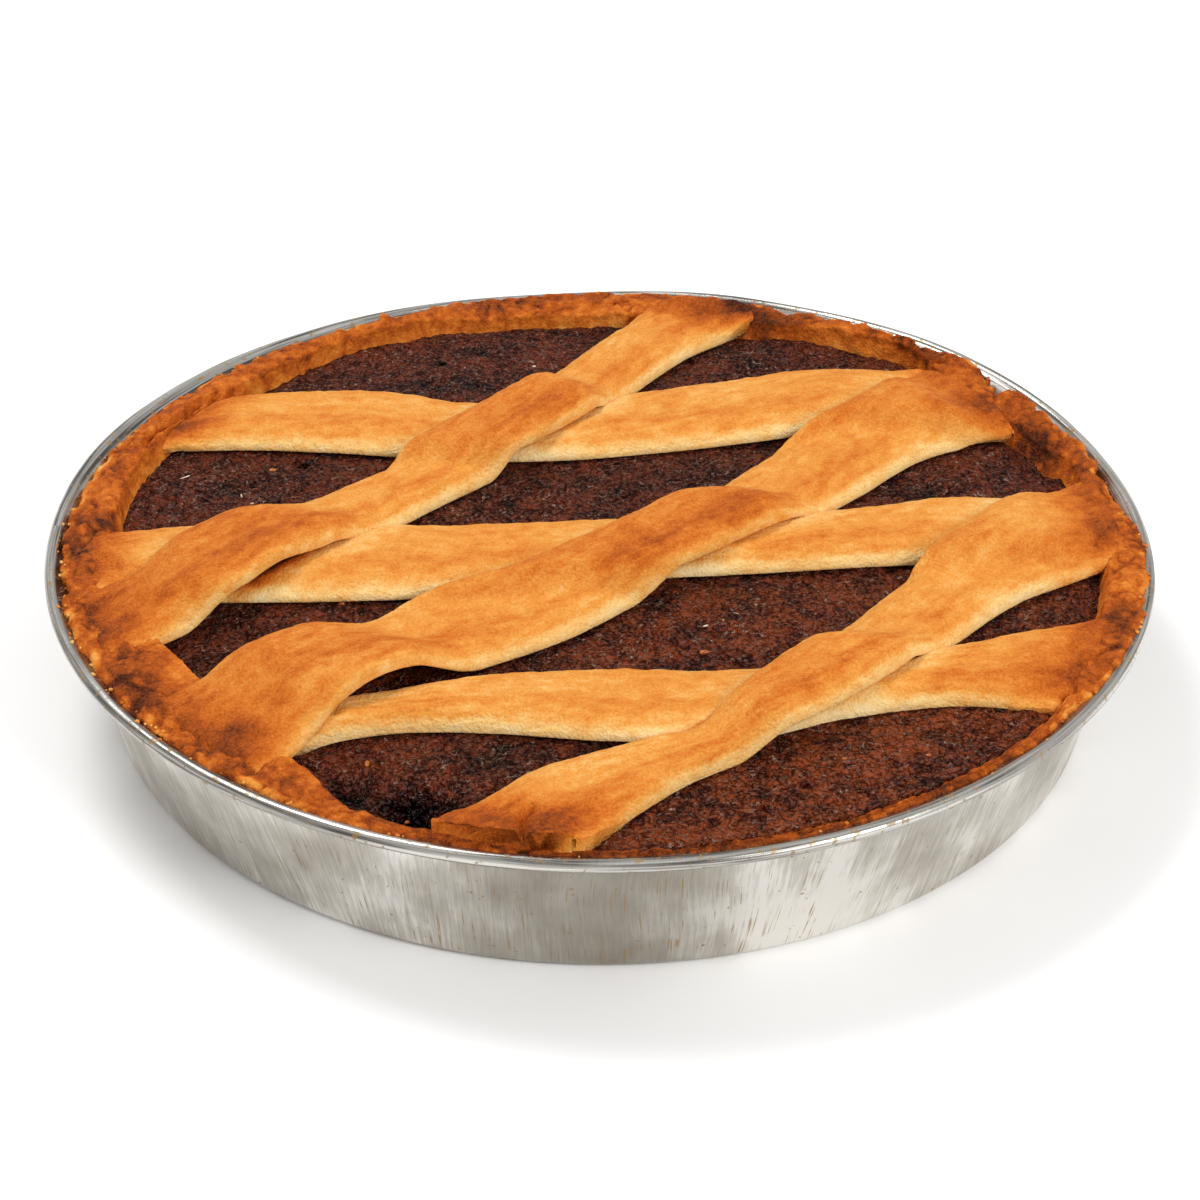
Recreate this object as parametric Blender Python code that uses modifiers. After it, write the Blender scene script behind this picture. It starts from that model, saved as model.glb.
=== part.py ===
"""Pastiera: a shortcrust tart with a dark filling and a lattice of six dough strips, in its tin.

Units are metres, +Z is up. The origin is on the floor, in the middle of the tin's underside.
"""

import math

import bmesh
import bpy
import numpy as np

MM = 0.001
GAP = 0.3 * MM                     # clearance between pieces that lie on one another
MERGE = 0.001 * MM                 # points closer than this are one

# Tin: pressed sheet with a rolled bead on its rim
TIN_RADIUS = 130.0 * MM            # outside of the bead
TIN_HEIGHT = 38.0 * MM             # top of the bead
TIN_SHEET = 1.0 * MM
BEAD_RADIUS = 2.3 * MM
WALL_FOOT_RADIUS = 116.2 * MM      # where the wall's outer line would meet the floor
WALL_TILT = math.atan(0.233)       # lean of the wall from upright
WALL_HEIGHT = 33.0 * MM            # up to the lip that turns out to the bead
LIP_HEIGHT = 35.6 * MM             # inside of the bend in the lip
LIP_FLARE = 0.4 * MM               # how far the bend stands out from the wall's line
LIP_SHEET = 1.4 * MM               # sheet measured upright where it slants
CORNER_RADIUS = 3.0 * MM           # outside of the bend between floor and wall
CORNER_STEPS = 2                   # faces round that bend
BEAD_ARC = (150, -150, -30)        # degrees round the bead: from inside over the top, and step
TIN_SEGMENTS = 60

# Crust: one cup of pastry that lines the tin
CRUST_FLOOR = 4.5 * MM
CRUST_FOOT_RADIUS = 106.0 * MM     # inner foot of the cup's wall
CRUST_FOOT_RISE = 2.0 * MM         # slope between the cup's floor and its wall
CRUST_FOOT_RUN = 4.0 * MM
CRUST_BRINK = 3.0 * MM             # straight part of the wall below the filling's edge
CRUST_SHOULDER = 1.2 * MM          # rounding of the rim's two edges
CRUST_RAGGED = (0.8 * MM, 0.5 * MM, 0.3 * MM)  # outer edge: mean inset and two waves around it
CRUST_SEGMENTS = 90                # shared with the filling that fits inside
# Its rim, going round from +X: angle in degrees, inner radius and height of the top in mm
CRUST_RIM = (
    (-10, 116, 38.6), (20, 116, 39.2), (38, 112, 39.6), (56, 117, 39.4), (72, 112, 39.0),
    (90, 111, 38.8), (108, 112, 38.8), (122, 117, 38.6), (140, 113, 38.8), (165, 114, 39.0),
    (185, 113, 38.4), (206, 108, 38.0), (222, 108, 38.2), (238, 112, 38.2), (250, 119, 37.4),
    (270, 121, 36.4), (292, 119, 36.2), (322, 121, 36.6), (338, 117, 37.8),
)

# Filling: level with the tin's rim, a little higher in the middle
FILLING_EDGE_HEIGHT = 35.0 * MM
FILLING_DOME = 1.6 * MM
FILLING_DOME_RADIUS = 114.0 * MM
FILLING_RINGS = (0.0, 0.4, 0.75, 1.0)  # rings of the top, as shares of its radius

# Strips of rolled dough, cut by hand. Each row is a point of the strip's middle line and half
# its width there, in mm. The ends are where a strip meets the circle of the radius given.
STRIP_THICKNESS = 5.0 * MM
PRESSED_THICKNESS = 3.9 * MM       # at the ends, pressed onto the crust
PRESSED_LENGTH = 16.0 * MM
CREST_MARGIN = 2.4 * MM            # how far past the lower strip an upper one stays raised
LOWER_STRIPS = {
    "lower_strip_back": {
        "line": ((-118, 49, 10), (-104, 51, 12), (-83, 53, 14), (-58, 52, 15.5), (-35, 47, 14),
                 (-10, 48, 14.5), (14, 53, 15), (38, 60, 15.5), (60, 67, 15), (82, 66, 13),
                 (98, 62, 11), (110, 59, 10)),
        "ends": (116, 118),
    },
    "lower_strip_middle": {
        "line": ((-126, -17, 12), (-112, -16, 14), (-89, -15, 16.5), (-64, -15, 16.5),
                 (-39, -15, 15), (-14, -12, 13.5), (11, -9, 12.5), (36, -7, 11.5),
                 (60, -3, 12), (85, 2, 14), (103, 4, 12), (120, 5, 11)),
        "ends": (117, 118.5),
    },
    "lower_strip_front": {
        "line": ((-84, -90, 8), (-72, -85, 7), (-48, -77, 6.5), (-23, -73, 10), (2, -73, 12.5),
                 (27, -73, 12.5), (51, -67, 9.5), (75, -61, 10), (98, -57, 14.5),
                 (112, -53, 15), (126, -48, 14)),
        "ends": (115, 121),
    },
}
UPPER_STRIPS = {
    "upper_strip_left": {
        "line": ((-121, -50, 13), (-109, -41, 13), (-98, -31, 13.5), (-81, -14, 13), (-64, 1, 11),
                 (-46, 18, 10.5), (-29, 36, 11), (-13, 55, 11.5), (0, 76, 11), (13, 96, 11.5),
                 (24, 112, 13), (34, 126, 14)),
        "ends": (121.5, 122.8),
        "crosses": {"lower_strip_middle": (6, 11), "lower_strip_back": (6, 6)},
    },
    "upper_strip_middle": {
        "line": ((-98, -105, 17), (-88, -93, 18), (-76, -79, 17.5), (-60, -64, 15), (-38, -50, 14),
                 (-16, -38, 12.5), (2, -23, 11.5), (20, -7, 12), (37, 9, 12.5), (53, 27, 13.5),
                 (70, 45, 13), (88, 59, 16), (100, 67, 17), (114, 76, 17)),
        "ends": (122.5, 119.5),
        "crosses": {"lower_strip_front": (9, 14), "lower_strip_middle": (6, 6),
                    "lower_strip_back": (6, 6)},
    },
    "upper_strip_right": {
        "line": ((-31, -132, 14), (-17, -120, 14), (-2, -107, 11.5), (17, -92, 9.5), (37, -77, 9.5),
                 (55, -60, 10.5), (71, -40, 11), (87, -21, 12), (103, -6, 15), (117, 5, 16),
                 (130, 14, 16)),
        "ends": (122.8, 120.5),
        "crosses": {"lower_strip_front": (6, 6), "lower_strip_middle": (6, 6)},
    },
}
LOWER_STEPS = 24
UPPER_STEPS = 44
# Right half of a strip's rounded section: share of the half width, share of the thickness
STRIP_SECTION = ((0.0, 1.0), (0.55, 0.95), (0.9, 0.7), (1.0, 0.35), (0.88, 0.0), (0.0, 0.0))
# The crust's rim is pressed down under the strips' ends, and rises again beside them
PRESSED_MARGIN = math.radians(4)
PRESSED_FADE = math.radians(5)

# Looks: sRGB colour, metallic, roughness
FINISHES = {
    "aluminium": ((0.72, 0.70, 0.67), 1.0, 0.35),
    "crust": ((0.72, 0.40, 0.16), 0.0, 0.75),
    "filling": ((0.20, 0.10, 0.07), 0.0, 0.45),
    "strip": ((0.86, 0.60, 0.30), 0.0, 0.70),
}


def clear_scene():
    for thing in list(bpy.data.objects):
        bpy.data.objects.remove(thing, do_unlink=True)


def new_collection(name):
    collection = bpy.data.collections.new(name)
    bpy.context.scene.collection.children.link(collection)
    return collection


def linear(channel):
    return channel / 12.92 if channel <= 0.04045 else ((channel + 0.055) / 1.055) ** 2.4


def finish(name):
    material = bpy.data.materials.get(name)
    if material:
        return material
    colour, metallic, roughness = FINISHES[name]
    material = bpy.data.materials.new(name)
    material.use_nodes = True
    shader = material.node_tree.nodes["Principled BSDF"]
    shader.inputs["Base Color"].default_value = [linear(c) for c in colour] + [1.0]
    shader.inputs["Metallic"].default_value = metallic
    shader.inputs["Roughness"].default_value = roughness
    return material


def add_object(name, mesh, collection, finish_name):
    mesh.materials.append(finish(finish_name))
    piece = bpy.data.objects.new(name, mesh)
    collection.objects.link(piece)
    return piece


def smooth(mesh, sharp_above_degrees=40):
    mesh.shade_smooth()
    mesh.set_sharp_from_angle(angle=math.radians(sharp_above_degrees))


def ease(value):
    """Smooth step from 0 to 1."""
    value = np.clip(value, 0.0, 1.0)
    return value * value * (3 - 2 * value)


def cup_wall_radius(height, inset):
    """Radius of the tin's wall line, moved inwards square to the wall by `inset`."""
    return WALL_FOOT_RADIUS + height * math.tan(WALL_TILT) - inset / math.cos(WALL_TILT)


def cup_outline(inset, top):
    """Outline (radius, height) from the axis along the floor, round the corner and up to `top`."""
    corner_radius = CORNER_RADIUS - inset
    corner_x = cup_wall_radius(CORNER_RADIUS, 0) - CORNER_RADIUS / math.cos(WALL_TILT)
    outline = [(0.0, inset)]
    for step in range(CORNER_STEPS + 1):
        angle = -math.pi / 2 + (math.pi / 2 - WALL_TILT) * step / CORNER_STEPS
        outline.append((corner_x + corner_radius * math.cos(angle),
                        CORNER_RADIUS + corner_radius * math.sin(angle)))
    outline.append((cup_wall_radius(top, inset), top))
    return outline


def make_tin(collection):
    """The sheet's inside, its lip, the rolled bead, then the outside down to the axis, turned."""
    bead_x = TIN_RADIUS - BEAD_RADIUS
    bead_z = TIN_HEIGHT - BEAD_RADIUS
    bead = []
    first, last, stride = BEAD_ARC
    for degrees in range(first, last + stride, stride):
        angle = math.radians(degrees)
        bead.append((bead_x + BEAD_RADIUS * math.cos(angle), bead_z + BEAD_RADIUS * math.sin(angle)))
    inside = cup_outline(TIN_SHEET, WALL_HEIGHT)
    inside.append((cup_wall_radius(LIP_HEIGHT, TIN_SHEET) + LIP_FLARE, LIP_HEIGHT))
    outside = cup_outline(0.0, WALL_HEIGHT)
    outside.append((cup_wall_radius(LIP_HEIGHT, 0.0) + LIP_FLARE, LIP_HEIGHT - LIP_SHEET))
    outline = inside + bead + outside[::-1]
    mesh = bpy.data.meshes.new("tin")
    edges = [(index, index + 1) for index in range(len(outline) - 1)]
    mesh.from_pydata([(x, 0.0, z) for x, z in outline], edges, [])
    tin = add_object("tin", mesh, collection, "aluminium")
    screw = tin.modifiers.new("turn", "SCREW")
    screw.axis = "Z"
    screw.steps = TIN_SEGMENTS
    screw.render_steps = TIN_SEGMENTS
    screw.use_merge_vertices = True
    screw.merge_threshold = MERGE
    screw.use_smooth_shade = True
    return tin


def loft(name, sections, round_trip):
    """A skin over sections with one number of points each. The sections are closed loops with a
    cap on the first and last, or, on a round trip, open half outlines that end on the axis."""
    sections = np.asarray(sections)
    count, points = sections.shape[:2]
    bm = bmesh.new()
    rows = [[bm.verts.new(point) for point in section] for section in sections]
    pairs = [(row, row + 1) for row in range(count - 1)]
    if round_trip:
        pairs.append((count - 1, 0))
    for row, following in pairs:
        for point in range(points - 1 if round_trip else points):
            beside = (point + 1) % points
            corner = rows[row][point]
            opposite = rows[following][beside]
            bm.faces.new((corner, rows[row][beside], opposite))
            bm.faces.new((corner, opposite, rows[following][point]))
    if round_trip:
        bmesh.ops.remove_doubles(bm, verts=bm.verts, dist=MERGE)
    else:
        bm.faces.new(rows[0])
        bm.faces.new(rows[-1])
    bmesh.ops.dissolve_degenerate(bm, edges=bm.edges, dist=MERGE)
    bmesh.ops.recalc_face_normals(bm, faces=bm.faces)
    mesh = bpy.data.meshes.new(name)
    bm.to_mesh(mesh)
    bm.free()
    smooth(mesh)
    return mesh


def rim_at(angle):
    """Inner radius and top height of the crust's rim at an angle, eased between its points."""
    degrees = math.degrees(angle)
    first = CRUST_RIM[0][0]
    degrees = (degrees - first) % 360 + first
    rim = CRUST_RIM + ((first + 360,) + CRUST_RIM[0][1:],)
    for near, far in zip(rim, rim[1:]):
        if degrees <= far[0]:
            share = float(ease((degrees - near[0]) / (far[0] - near[0])))
            return tuple(MM * (a + (b - a) * share) for a, b in zip(near[1:], far[1:]))
    raise ValueError(angle)


def crust_outline(angle, spans):
    """Half outline of the cup at an angle, from the axis underneath, round the rim, to the axis."""
    inner, top = rim_at(angle)
    pressed = 0.0
    for middle, half in spans:
        away = abs((angle - middle + math.pi) % (2 * math.pi) - math.pi)
        pressed = max(pressed, float(ease((half + PRESSED_MARGIN + PRESSED_FADE - away) / PRESSED_FADE)))
    top += (FILLING_EDGE_HEIGHT - top) * pressed
    mean, slow_wave, quick_wave = CRUST_RAGGED
    ragged = mean + slow_wave * math.sin(9 * angle) + quick_wave * math.sin(23 * angle + 1.0)
    brim = min(top - CRUST_SHOULDER, WALL_HEIGHT)
    outer = cup_wall_radius(brim, TIN_SHEET + GAP) - ragged
    floor_top = TIN_SHEET + GAP + CRUST_FLOOR
    outside = cup_outline(TIN_SHEET + GAP, WALL_HEIGHT - CRUST_SHOULDER)
    rim = [(outer, top - CRUST_SHOULDER),
           (outer - CRUST_SHOULDER, top),
           (inner + CRUST_SHOULDER, top),
           (inner, top - CRUST_SHOULDER)]
    inside = [(inner, FILLING_EDGE_HEIGHT - CRUST_BRINK),
              (CRUST_FOOT_RADIUS, floor_top + CRUST_FOOT_RISE),
              (CRUST_FOOT_RADIUS - CRUST_FOOT_RUN, floor_top),
              (0.0, floor_top)]
    return outside + rim + inside


def filling_outline(angle):
    """Half outline of the filling at an angle, from the axis on top to the axis underneath."""
    inner = rim_at(angle)[0] - GAP
    floor = TIN_SHEET + 2 * GAP + CRUST_FLOOR
    foot = CRUST_FOOT_RADIUS - GAP
    top = [(inner * share, filling_top(inner * share)) for share in FILLING_RINGS]
    return top + [(inner, FILLING_EDGE_HEIGHT - CRUST_BRINK),
                  (foot, floor + CRUST_FOOT_RISE),
                  (foot - CRUST_FOOT_RUN, floor),
                  (0.0, floor)]


def filling_top(radius):
    share = np.clip(np.asarray(radius) / FILLING_DOME_RADIUS, 0, 1)
    return FILLING_EDGE_HEIGHT + FILLING_DOME * (1 - share ** 2)


def turned_loft(name, outline_at):
    sections = []
    for step in range(CRUST_SEGMENTS):
        angle = 2 * math.pi * step / CRUST_SEGMENTS
        direction = (math.cos(angle), math.sin(angle))
        sections.append([(radius * direction[0], radius * direction[1], height)
                         for radius, height in outline_at(angle)])
    return loft(name, sections, round_trip=True)


def smooth_line(points, steps=24):
    """A curve through every point, each point (x, y, half width), as dense rows in metres."""
    points = np.asarray(points, float) * MM
    ends = np.vstack([2 * points[0] - points[1], points, 2 * points[-1] - points[-2]])
    rows = []
    for before, start, stop, after in zip(ends, ends[1:], ends[2:], ends[3:]):
        for share in np.arange(steps) / steps:
            rows.append(0.5 * (2 * start + (stop - before) * share
                               + (2 * before - 5 * start + 4 * stop - after) * share ** 2
                               + (3 * start - before - 3 * stop + after) * share ** 3))
    rows.append(points[-1])
    return np.array(rows)


def left_of(line):
    """Unit vectors square to the line, to its left."""
    along = np.gradient(line[:, :2], axis=0)
    along /= np.linalg.norm(along, axis=1)[:, None]
    return np.column_stack([-along[:, 1], along[:, 0]])


def trimmed(line, side, ends):
    """A strip's long line at `side` half widths from its middle, cut by both end circles."""
    edge = line[:, :2] + left_of(line) * line[:, 2:3] * side
    radius = np.hypot(edge[:, 0], edge[:, 1])
    middle = len(edge) // 2
    cuts = []
    for rows, limit in ((range(middle, 0, -1), ends[0]), (range(middle, len(edge) - 1), ends[1])):
        step = rows.step
        limit = limit * MM
        for row in rows:
            if radius[row + step] >= limit:
                break
        cuts.append(row + step * (limit - radius[row]) / (radius[row + step] - radius[row]))
    return edge, cuts


def crest(line, places, reach):
    """How much of its full lift a strip has over the lower strip along `line` (0 to 1)."""
    across = left_of(line)
    offsets = places[:, None, :] - line[None, :, :2]
    nearest = np.linalg.norm(offsets, axis=2).argmin(axis=1)
    side = (offsets[np.arange(len(places)), nearest] * across[nearest]).sum(axis=1)
    half = line[nearest, 2] + CREST_MARGIN
    beyond, before = (distance * MM for distance in reach)
    return ease((half + beyond - side) / beyond) * ease((half + before + side) / before)


def strip_columns(strip, half_section, steps):
    """The strip's long lines, one for each point of its section: places in plan and the
    share of the thickness at which they run."""
    line = smooth_line(strip["line"])
    section = half_section + tuple((-side, rise) for side, rise in half_section[-2:0:-1])
    columns = []
    for side, rise in section:
        edge, cuts = trimmed(line, side, strip["ends"])
        rows = np.linspace(cuts[0], cuts[1], steps + 1)
        places = np.column_stack([np.interp(rows, np.arange(len(edge)), edge[:, axis])
                                  for axis in (0, 1)])
        columns.append((places, rise))
    return columns


def strip_mesh(name, strip, steps):
    """A band of dough laid over the filling and over the strips that it crosses."""
    columns = []
    for places, rise in strip_columns(strip, STRIP_SECTION, steps):
        height = filling_top(np.hypot(places[:, 0], places[:, 1])) + GAP
        for crossed, reach in strip.get("crosses", {}).items():
            crossed_line = smooth_line(LOWER_STRIPS[crossed]["line"])
            height += (STRIP_THICKNESS + GAP) * crest(crossed_line, places, reach)
        travelled = np.concatenate([[0], np.cumsum(np.linalg.norm(np.diff(places, axis=0), axis=1))])
        from_end = np.minimum(travelled, travelled[-1] - travelled)
        pressed = 1 - ease(from_end / PRESSED_LENGTH)
        height += rise * (STRIP_THICKNESS + (PRESSED_THICKNESS - STRIP_THICKNESS) * pressed)
        columns.append(np.column_stack([places, height]))
    sections = np.array(columns).transpose(1, 0, 2)
    return loft(name, sections, round_trip=False)


def pressed_spans(strips):
    """Middle and half width, as angles, of each stretch of rim that a strip's end covers."""
    outline = ((0.0, 0.0), (1.0, 0.0), (0.0, 0.0))
    spans = []
    for strip in strips:
        places = np.array([column[0] for column in strip_columns(strip, outline, UPPER_STEPS)])
        count = places.shape[1]
        third = count // 3
        for end in (slice(0, third), slice(count - third, count)):
            near_end = places[:, end].reshape(-1, 2)
            angle = np.arctan2(near_end[:, 1], near_end[:, 0])
            inner = np.array([rim_at(value)[0] for value in angle])
            resting = angle[np.hypot(near_end[:, 0], near_end[:, 1]) > inner - CRUST_SHOULDER]
            middle = np.angle(np.exp(1j * resting).mean())
            offset = np.angle(np.exp(1j * (resting - middle)))
            spans.append((middle + (offset.min() + offset.max()) / 2,
                          (offset.max() - offset.min()) / 2))
    return spans


def main():
    clear_scene()
    parts = new_collection("pastiera")
    make_tin(parts)
    spans = pressed_spans([*LOWER_STRIPS.values(), *UPPER_STRIPS.values()])
    crust = turned_loft("crust", lambda angle: crust_outline(angle, spans))
    add_object("crust", crust, parts, "crust")
    add_object("filling", turned_loft("filling", filling_outline), parts, "filling")
    for strips, steps in ((LOWER_STRIPS, LOWER_STEPS), (UPPER_STRIPS, UPPER_STEPS)):
        for name, strip in strips.items():
            add_object(name, strip_mesh(name, strip, steps), parts, "strip")


main()
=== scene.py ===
# %% [markdown]
# # A pastiera in its baking tin
#
# A pastiera is a shortcrust tart. A cup of pastry lines a flared aluminium tin, a dark filling
# sets in it as it bakes, and six hand-cut strips of dough lie across the top. This lesson makes
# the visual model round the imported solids, one piece after another: tin, filling, crust, strips
# and crumbs. Lengths in the formulas are millimetres, and a mesh is scaled to metres at the end.

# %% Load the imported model
import itertools
import math
from types import SimpleNamespace

import bmesh
import bpy
import numpy as np
from mathutils import Matrix, Vector


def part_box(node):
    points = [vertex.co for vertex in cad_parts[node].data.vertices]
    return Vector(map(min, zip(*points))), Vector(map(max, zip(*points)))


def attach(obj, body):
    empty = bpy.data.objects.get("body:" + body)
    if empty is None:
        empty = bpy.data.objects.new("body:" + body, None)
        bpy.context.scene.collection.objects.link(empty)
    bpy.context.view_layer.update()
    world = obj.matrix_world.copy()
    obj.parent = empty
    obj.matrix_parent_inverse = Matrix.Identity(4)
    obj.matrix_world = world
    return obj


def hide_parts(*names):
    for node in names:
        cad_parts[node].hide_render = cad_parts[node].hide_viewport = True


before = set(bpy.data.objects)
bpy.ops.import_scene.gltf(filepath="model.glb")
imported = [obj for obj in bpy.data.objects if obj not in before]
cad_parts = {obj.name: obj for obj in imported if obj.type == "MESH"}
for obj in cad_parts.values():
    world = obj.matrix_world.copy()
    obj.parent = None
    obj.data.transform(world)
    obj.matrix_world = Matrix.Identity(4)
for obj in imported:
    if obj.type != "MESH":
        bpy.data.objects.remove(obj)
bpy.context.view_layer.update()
tin_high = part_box("tin")[1]
MM = 0.001
TIN_RADIUS = tin_high.x / MM
TIN_HEIGHT = tin_high.z / MM
print(len(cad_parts), "packed solids, the tin", round(TIN_RADIUS, 1), "mm in radius and",
      round(TIN_HEIGHT, 1), "mm high")

# %% [markdown]
# ## Noise that baking leaves
#
# Nothing on a home-baked tart is straight. Three fields make every unevenness below: `ease` fades
# one value into another, `swell` is a smooth swelling with lumps of a stated size, and `grains`
# tells how far a point is from the middle of the nearest of many scattered crumbs. They are
# written with arrays, because a hundred thousand points take a moment that way and minutes in a
# loop, and they hash whole numbers, so that each run gives the same tart. The last number of a
# call is its seed, and each use has a seed of its own.

# %% Ease and swell
def ease(value):
    """0 below 0, 1 above 1, and a smooth climb between."""
    value = np.clip(value, 0.0, 1.0)
    return value * value * (3 - 2 * value)


def hashed(cells, seed):
    """A number from 0 to 1 for each whole-number cell."""
    primes = np.array((73856093, 19349663, 83492791))[:cells.shape[1]]
    mixed = (cells * primes).sum(axis=1) + (seed + 1) * 40503
    mixed = ((mixed ^ (mixed >> 15)) * 2246822519) & 0xFFFFFFFF
    mixed = ((mixed ^ (mixed >> 13)) * 3266489917) & 0xFFFFFFFF
    return (mixed ^ (mixed >> 16)) / 0xFFFFFFFF


def swell(places, size, seed):
    """Smooth noise from about -1 to 1 whose lumps are about `size` across."""
    scaled = places / size
    whole = np.floor(scaled).astype(np.int64)
    inside = scaled - whole
    fade = inside ** 3 * (inside * (inside * 6 - 15) + 10)
    total = np.zeros(len(places))
    for corner in itertools.product((0, 1), repeat=places.shape[1]):
        weight = np.prod(np.where(corner, fade, 1 - fade), axis=1)
        for axis in range(places.shape[1]):
            slope = 2 * hashed(whole + corner, 7 * seed + axis) - 1
            total += weight * slope * (inside[:, axis] - corner[axis])
    return 1.7 * total


def swells(places, *layers):
    """Sum of swells, each given as its amount, size and seed."""
    return sum(amount * swell(places, size, seed) for amount, size, seed in layers)


trial = np.random.default_rng(1).uniform(-100, 100, (20000, 3))
print("swell spreads by", swell(trial, 5.0, 0).std().round(2))


# %% Grains
def grains(places, size, seed):
    """Distance to the nearest of scattered crumbs, in crumb sizes, and that crumb's own number."""
    scaled = places / size
    whole = np.floor(scaled).astype(np.int64)
    nearest = np.full(len(places), 9.0)
    number = np.zeros(len(places))
    for step in itertools.product((-1, 0, 1), repeat=places.shape[1]):
        cell = whole + step
        middle = cell + np.column_stack([hashed(cell, 11 * seed + axis) for axis in range(cell.shape[1])])
        distance = np.linalg.norm(scaled - middle, axis=1)
        closer = distance < nearest
        nearest[closer] = distance[closer]
        number[closer] = hashed(cell, 11 * seed + 5)[closer]
    return nearest, number


farthest = grains(trial, 5.0, 0)[0].max()
print("the farthest of", len(trial), "places is", farthest.round(2), "crumb sizes from a middle")

# %% [markdown]
# ## Meshes from formulas
#
# Each piece starts as a plain bmesh shape, a grid or a turned outline, with enough faces for its
# crumbs. Its points are then read as one array, moved by a formula, and written back. Where the
# pastry is browner is worked out at the same points and kept as an attribute for the material.

# %% Read and write a mesh
def points_of(mesh):
    """Every point of a mesh, as rows of x, y and z."""
    flat = np.empty(len(mesh.vertices) * 3)
    mesh.vertices.foreach_get("co", flat)
    return flat.reshape(-1, 3)


def set_points(mesh, points):
    """Put every point of a mesh where the rows say."""
    mesh.vertices.foreach_set("co", points.ravel())
    mesh.update()


def mesh_of(bm, name):
    """A smooth-shaded mesh from a bmesh, which is freed."""
    mesh = bpy.data.meshes.new(name)
    bm.to_mesh(mesh)
    bm.free()
    mesh.shade_smooth()
    return mesh


print("the packed tin has", len(points_of(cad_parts["tin"].data)), "points")

# %% [markdown]
# Every material is a Principled shader. A colour is written as the hex code that a colour picker
# shows, and one function turns it to the linear values that a shader works with. A number or
# colour that is the same all over is set on the shader's own socket, where an exported model
# keeps it.

# %% Colours and materials
def linear(code):
    """An sRGB hex colour as linear red, green, blue and alpha."""
    channels = [int(code[start:start + 2], 16) / 255 for start in (1, 3, 5)]
    return [c / 12.92 if c <= 0.04045 else ((c + 0.055) / 1.055) ** 2.4 for c in channels] + [1.0]


def new_material(name, fixed=None):
    """A material and its node tree, with what is the same all over set on the shader."""
    material = bpy.data.materials.new(name)
    material.use_nodes = True
    for socket, value in (fixed or {}).items():
        material.node_tree.nodes["Principled BSDF"].inputs[socket].default_value = value
    return material, material.node_tree


print("white is", linear("#FFFFFF"))

# %% [markdown]
# ## Camera, floor and light
#
# The tart is seen from the front and 32 degrees above, with a long lens that keeps its rim an
# even ellipse. The camera leans by under half a degree, so its axes are worked out from vectors.
# The floor is a plain pale sheet, and the light is a bright room with two large soft panels that
# look at the middle of the tart.

# %% Camera
LENS = 90.0
ELEVATION = math.radians(32.37)
DISTANCE = 0.7212
LEAN = math.radians(0.42)
# The point it looks at, in metres
target = Vector((0.00008, 0.0, 0.0183))
back = Vector((0.0, -math.cos(ELEVATION), math.sin(ELEVATION)))
across = Vector((1.0, 0.0, 0.0))
upwards = across.cross(-back)
side_axis = across * math.cos(LEAN) + upwards * math.sin(LEAN)
up_axis = upwards * math.cos(LEAN) - across * math.sin(LEAN)
placing = Matrix((side_axis, up_axis, back)).transposed().to_4x4()
placing.translation = target + back * DISTANCE
camera_data = bpy.data.cameras.new("camera")
camera_data.lens = LENS
camera_data.sensor_width = 36.0
camera = bpy.data.objects.new("camera", camera_data)
camera.matrix_world = placing
bpy.context.scene.collection.objects.link(camera)
bpy.context.scene.camera = camera
bpy.context.scene.view_settings.view_transform = "Standard"
print("camera at", [round(value, 3) for value in placing.translation])

# %% Floor and lights
bm = bmesh.new()
bmesh.ops.create_grid(bm, x_segments=1, y_segments=1, size=6.0)
floor_mesh = mesh_of(bm, "floor")
paper = new_material("matt_white_paper", {"Base Color": linear("#FFFEFD"), "Roughness": 0.9,
                                          "Specular IOR Level": 0.1})[0]
floor_mesh.materials.append(paper)
floor = bpy.data.objects.new("floor", floor_mesh)
bpy.context.scene.collection.objects.link(floor)

world = bpy.data.worlds.new("room")
bpy.context.scene.world = world
world.use_nodes = True
world.node_tree.nodes["Background"].inputs["Color"].default_value = (1.0, 1.0, 1.0, 1.0)
world.node_tree.nodes["Background"].inputs["Strength"].default_value = 0.64
# Name, place and size in metres, power in watts
for name, place, size, power in (("key_panel", (-0.5, 0.45, 1.2), 0.5, 9.5),
                                 ("front_panel", (0.8, -0.85, 0.85), 0.6, 10.0)):
    light = bpy.data.lights.new(name, "AREA")
    light.shape = "SQUARE"
    light.size = size
    light.energy = power
    panel = bpy.data.objects.new(name, light)
    panel.location = place
    panel.rotation_euler = (target - Vector(place)).to_track_quat("-Z", "Y").to_euler()
    bpy.context.scene.collection.objects.link(panel)
print("floor and two panels")

# %% [markdown]
# ## The tin
#
# The tin is pressed from thin aluminium sheet: a flat floor, a flared wall, a lip and a bead
# rolled over on itself so that no edge is sharp. It could be a cylinder with a Solidify modifier,
# but the wall, lip and bead are one line all round, so the line is drawn once and turned about
# the middle. Years of use have pushed the rim a little out of round, which a second formula adds.

# %% Tin: the line that is turned
SHEET = 1.0
BEAD = 1.5
WALL_FOOT = 116.2
WALL_SLOPE = 0.233
CORNER = 3.0
LIP_START, LIP_TURN, LIP_BEND = 33.0, 33.8, 35.6


def wall_radius(height, inset):
    """Radius of the wall's outer line at a height, moved inwards square to it by `inset`."""
    return WALL_FOOT + height * WALL_SLOPE - inset * math.hypot(1, WALL_SLOPE)


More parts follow.
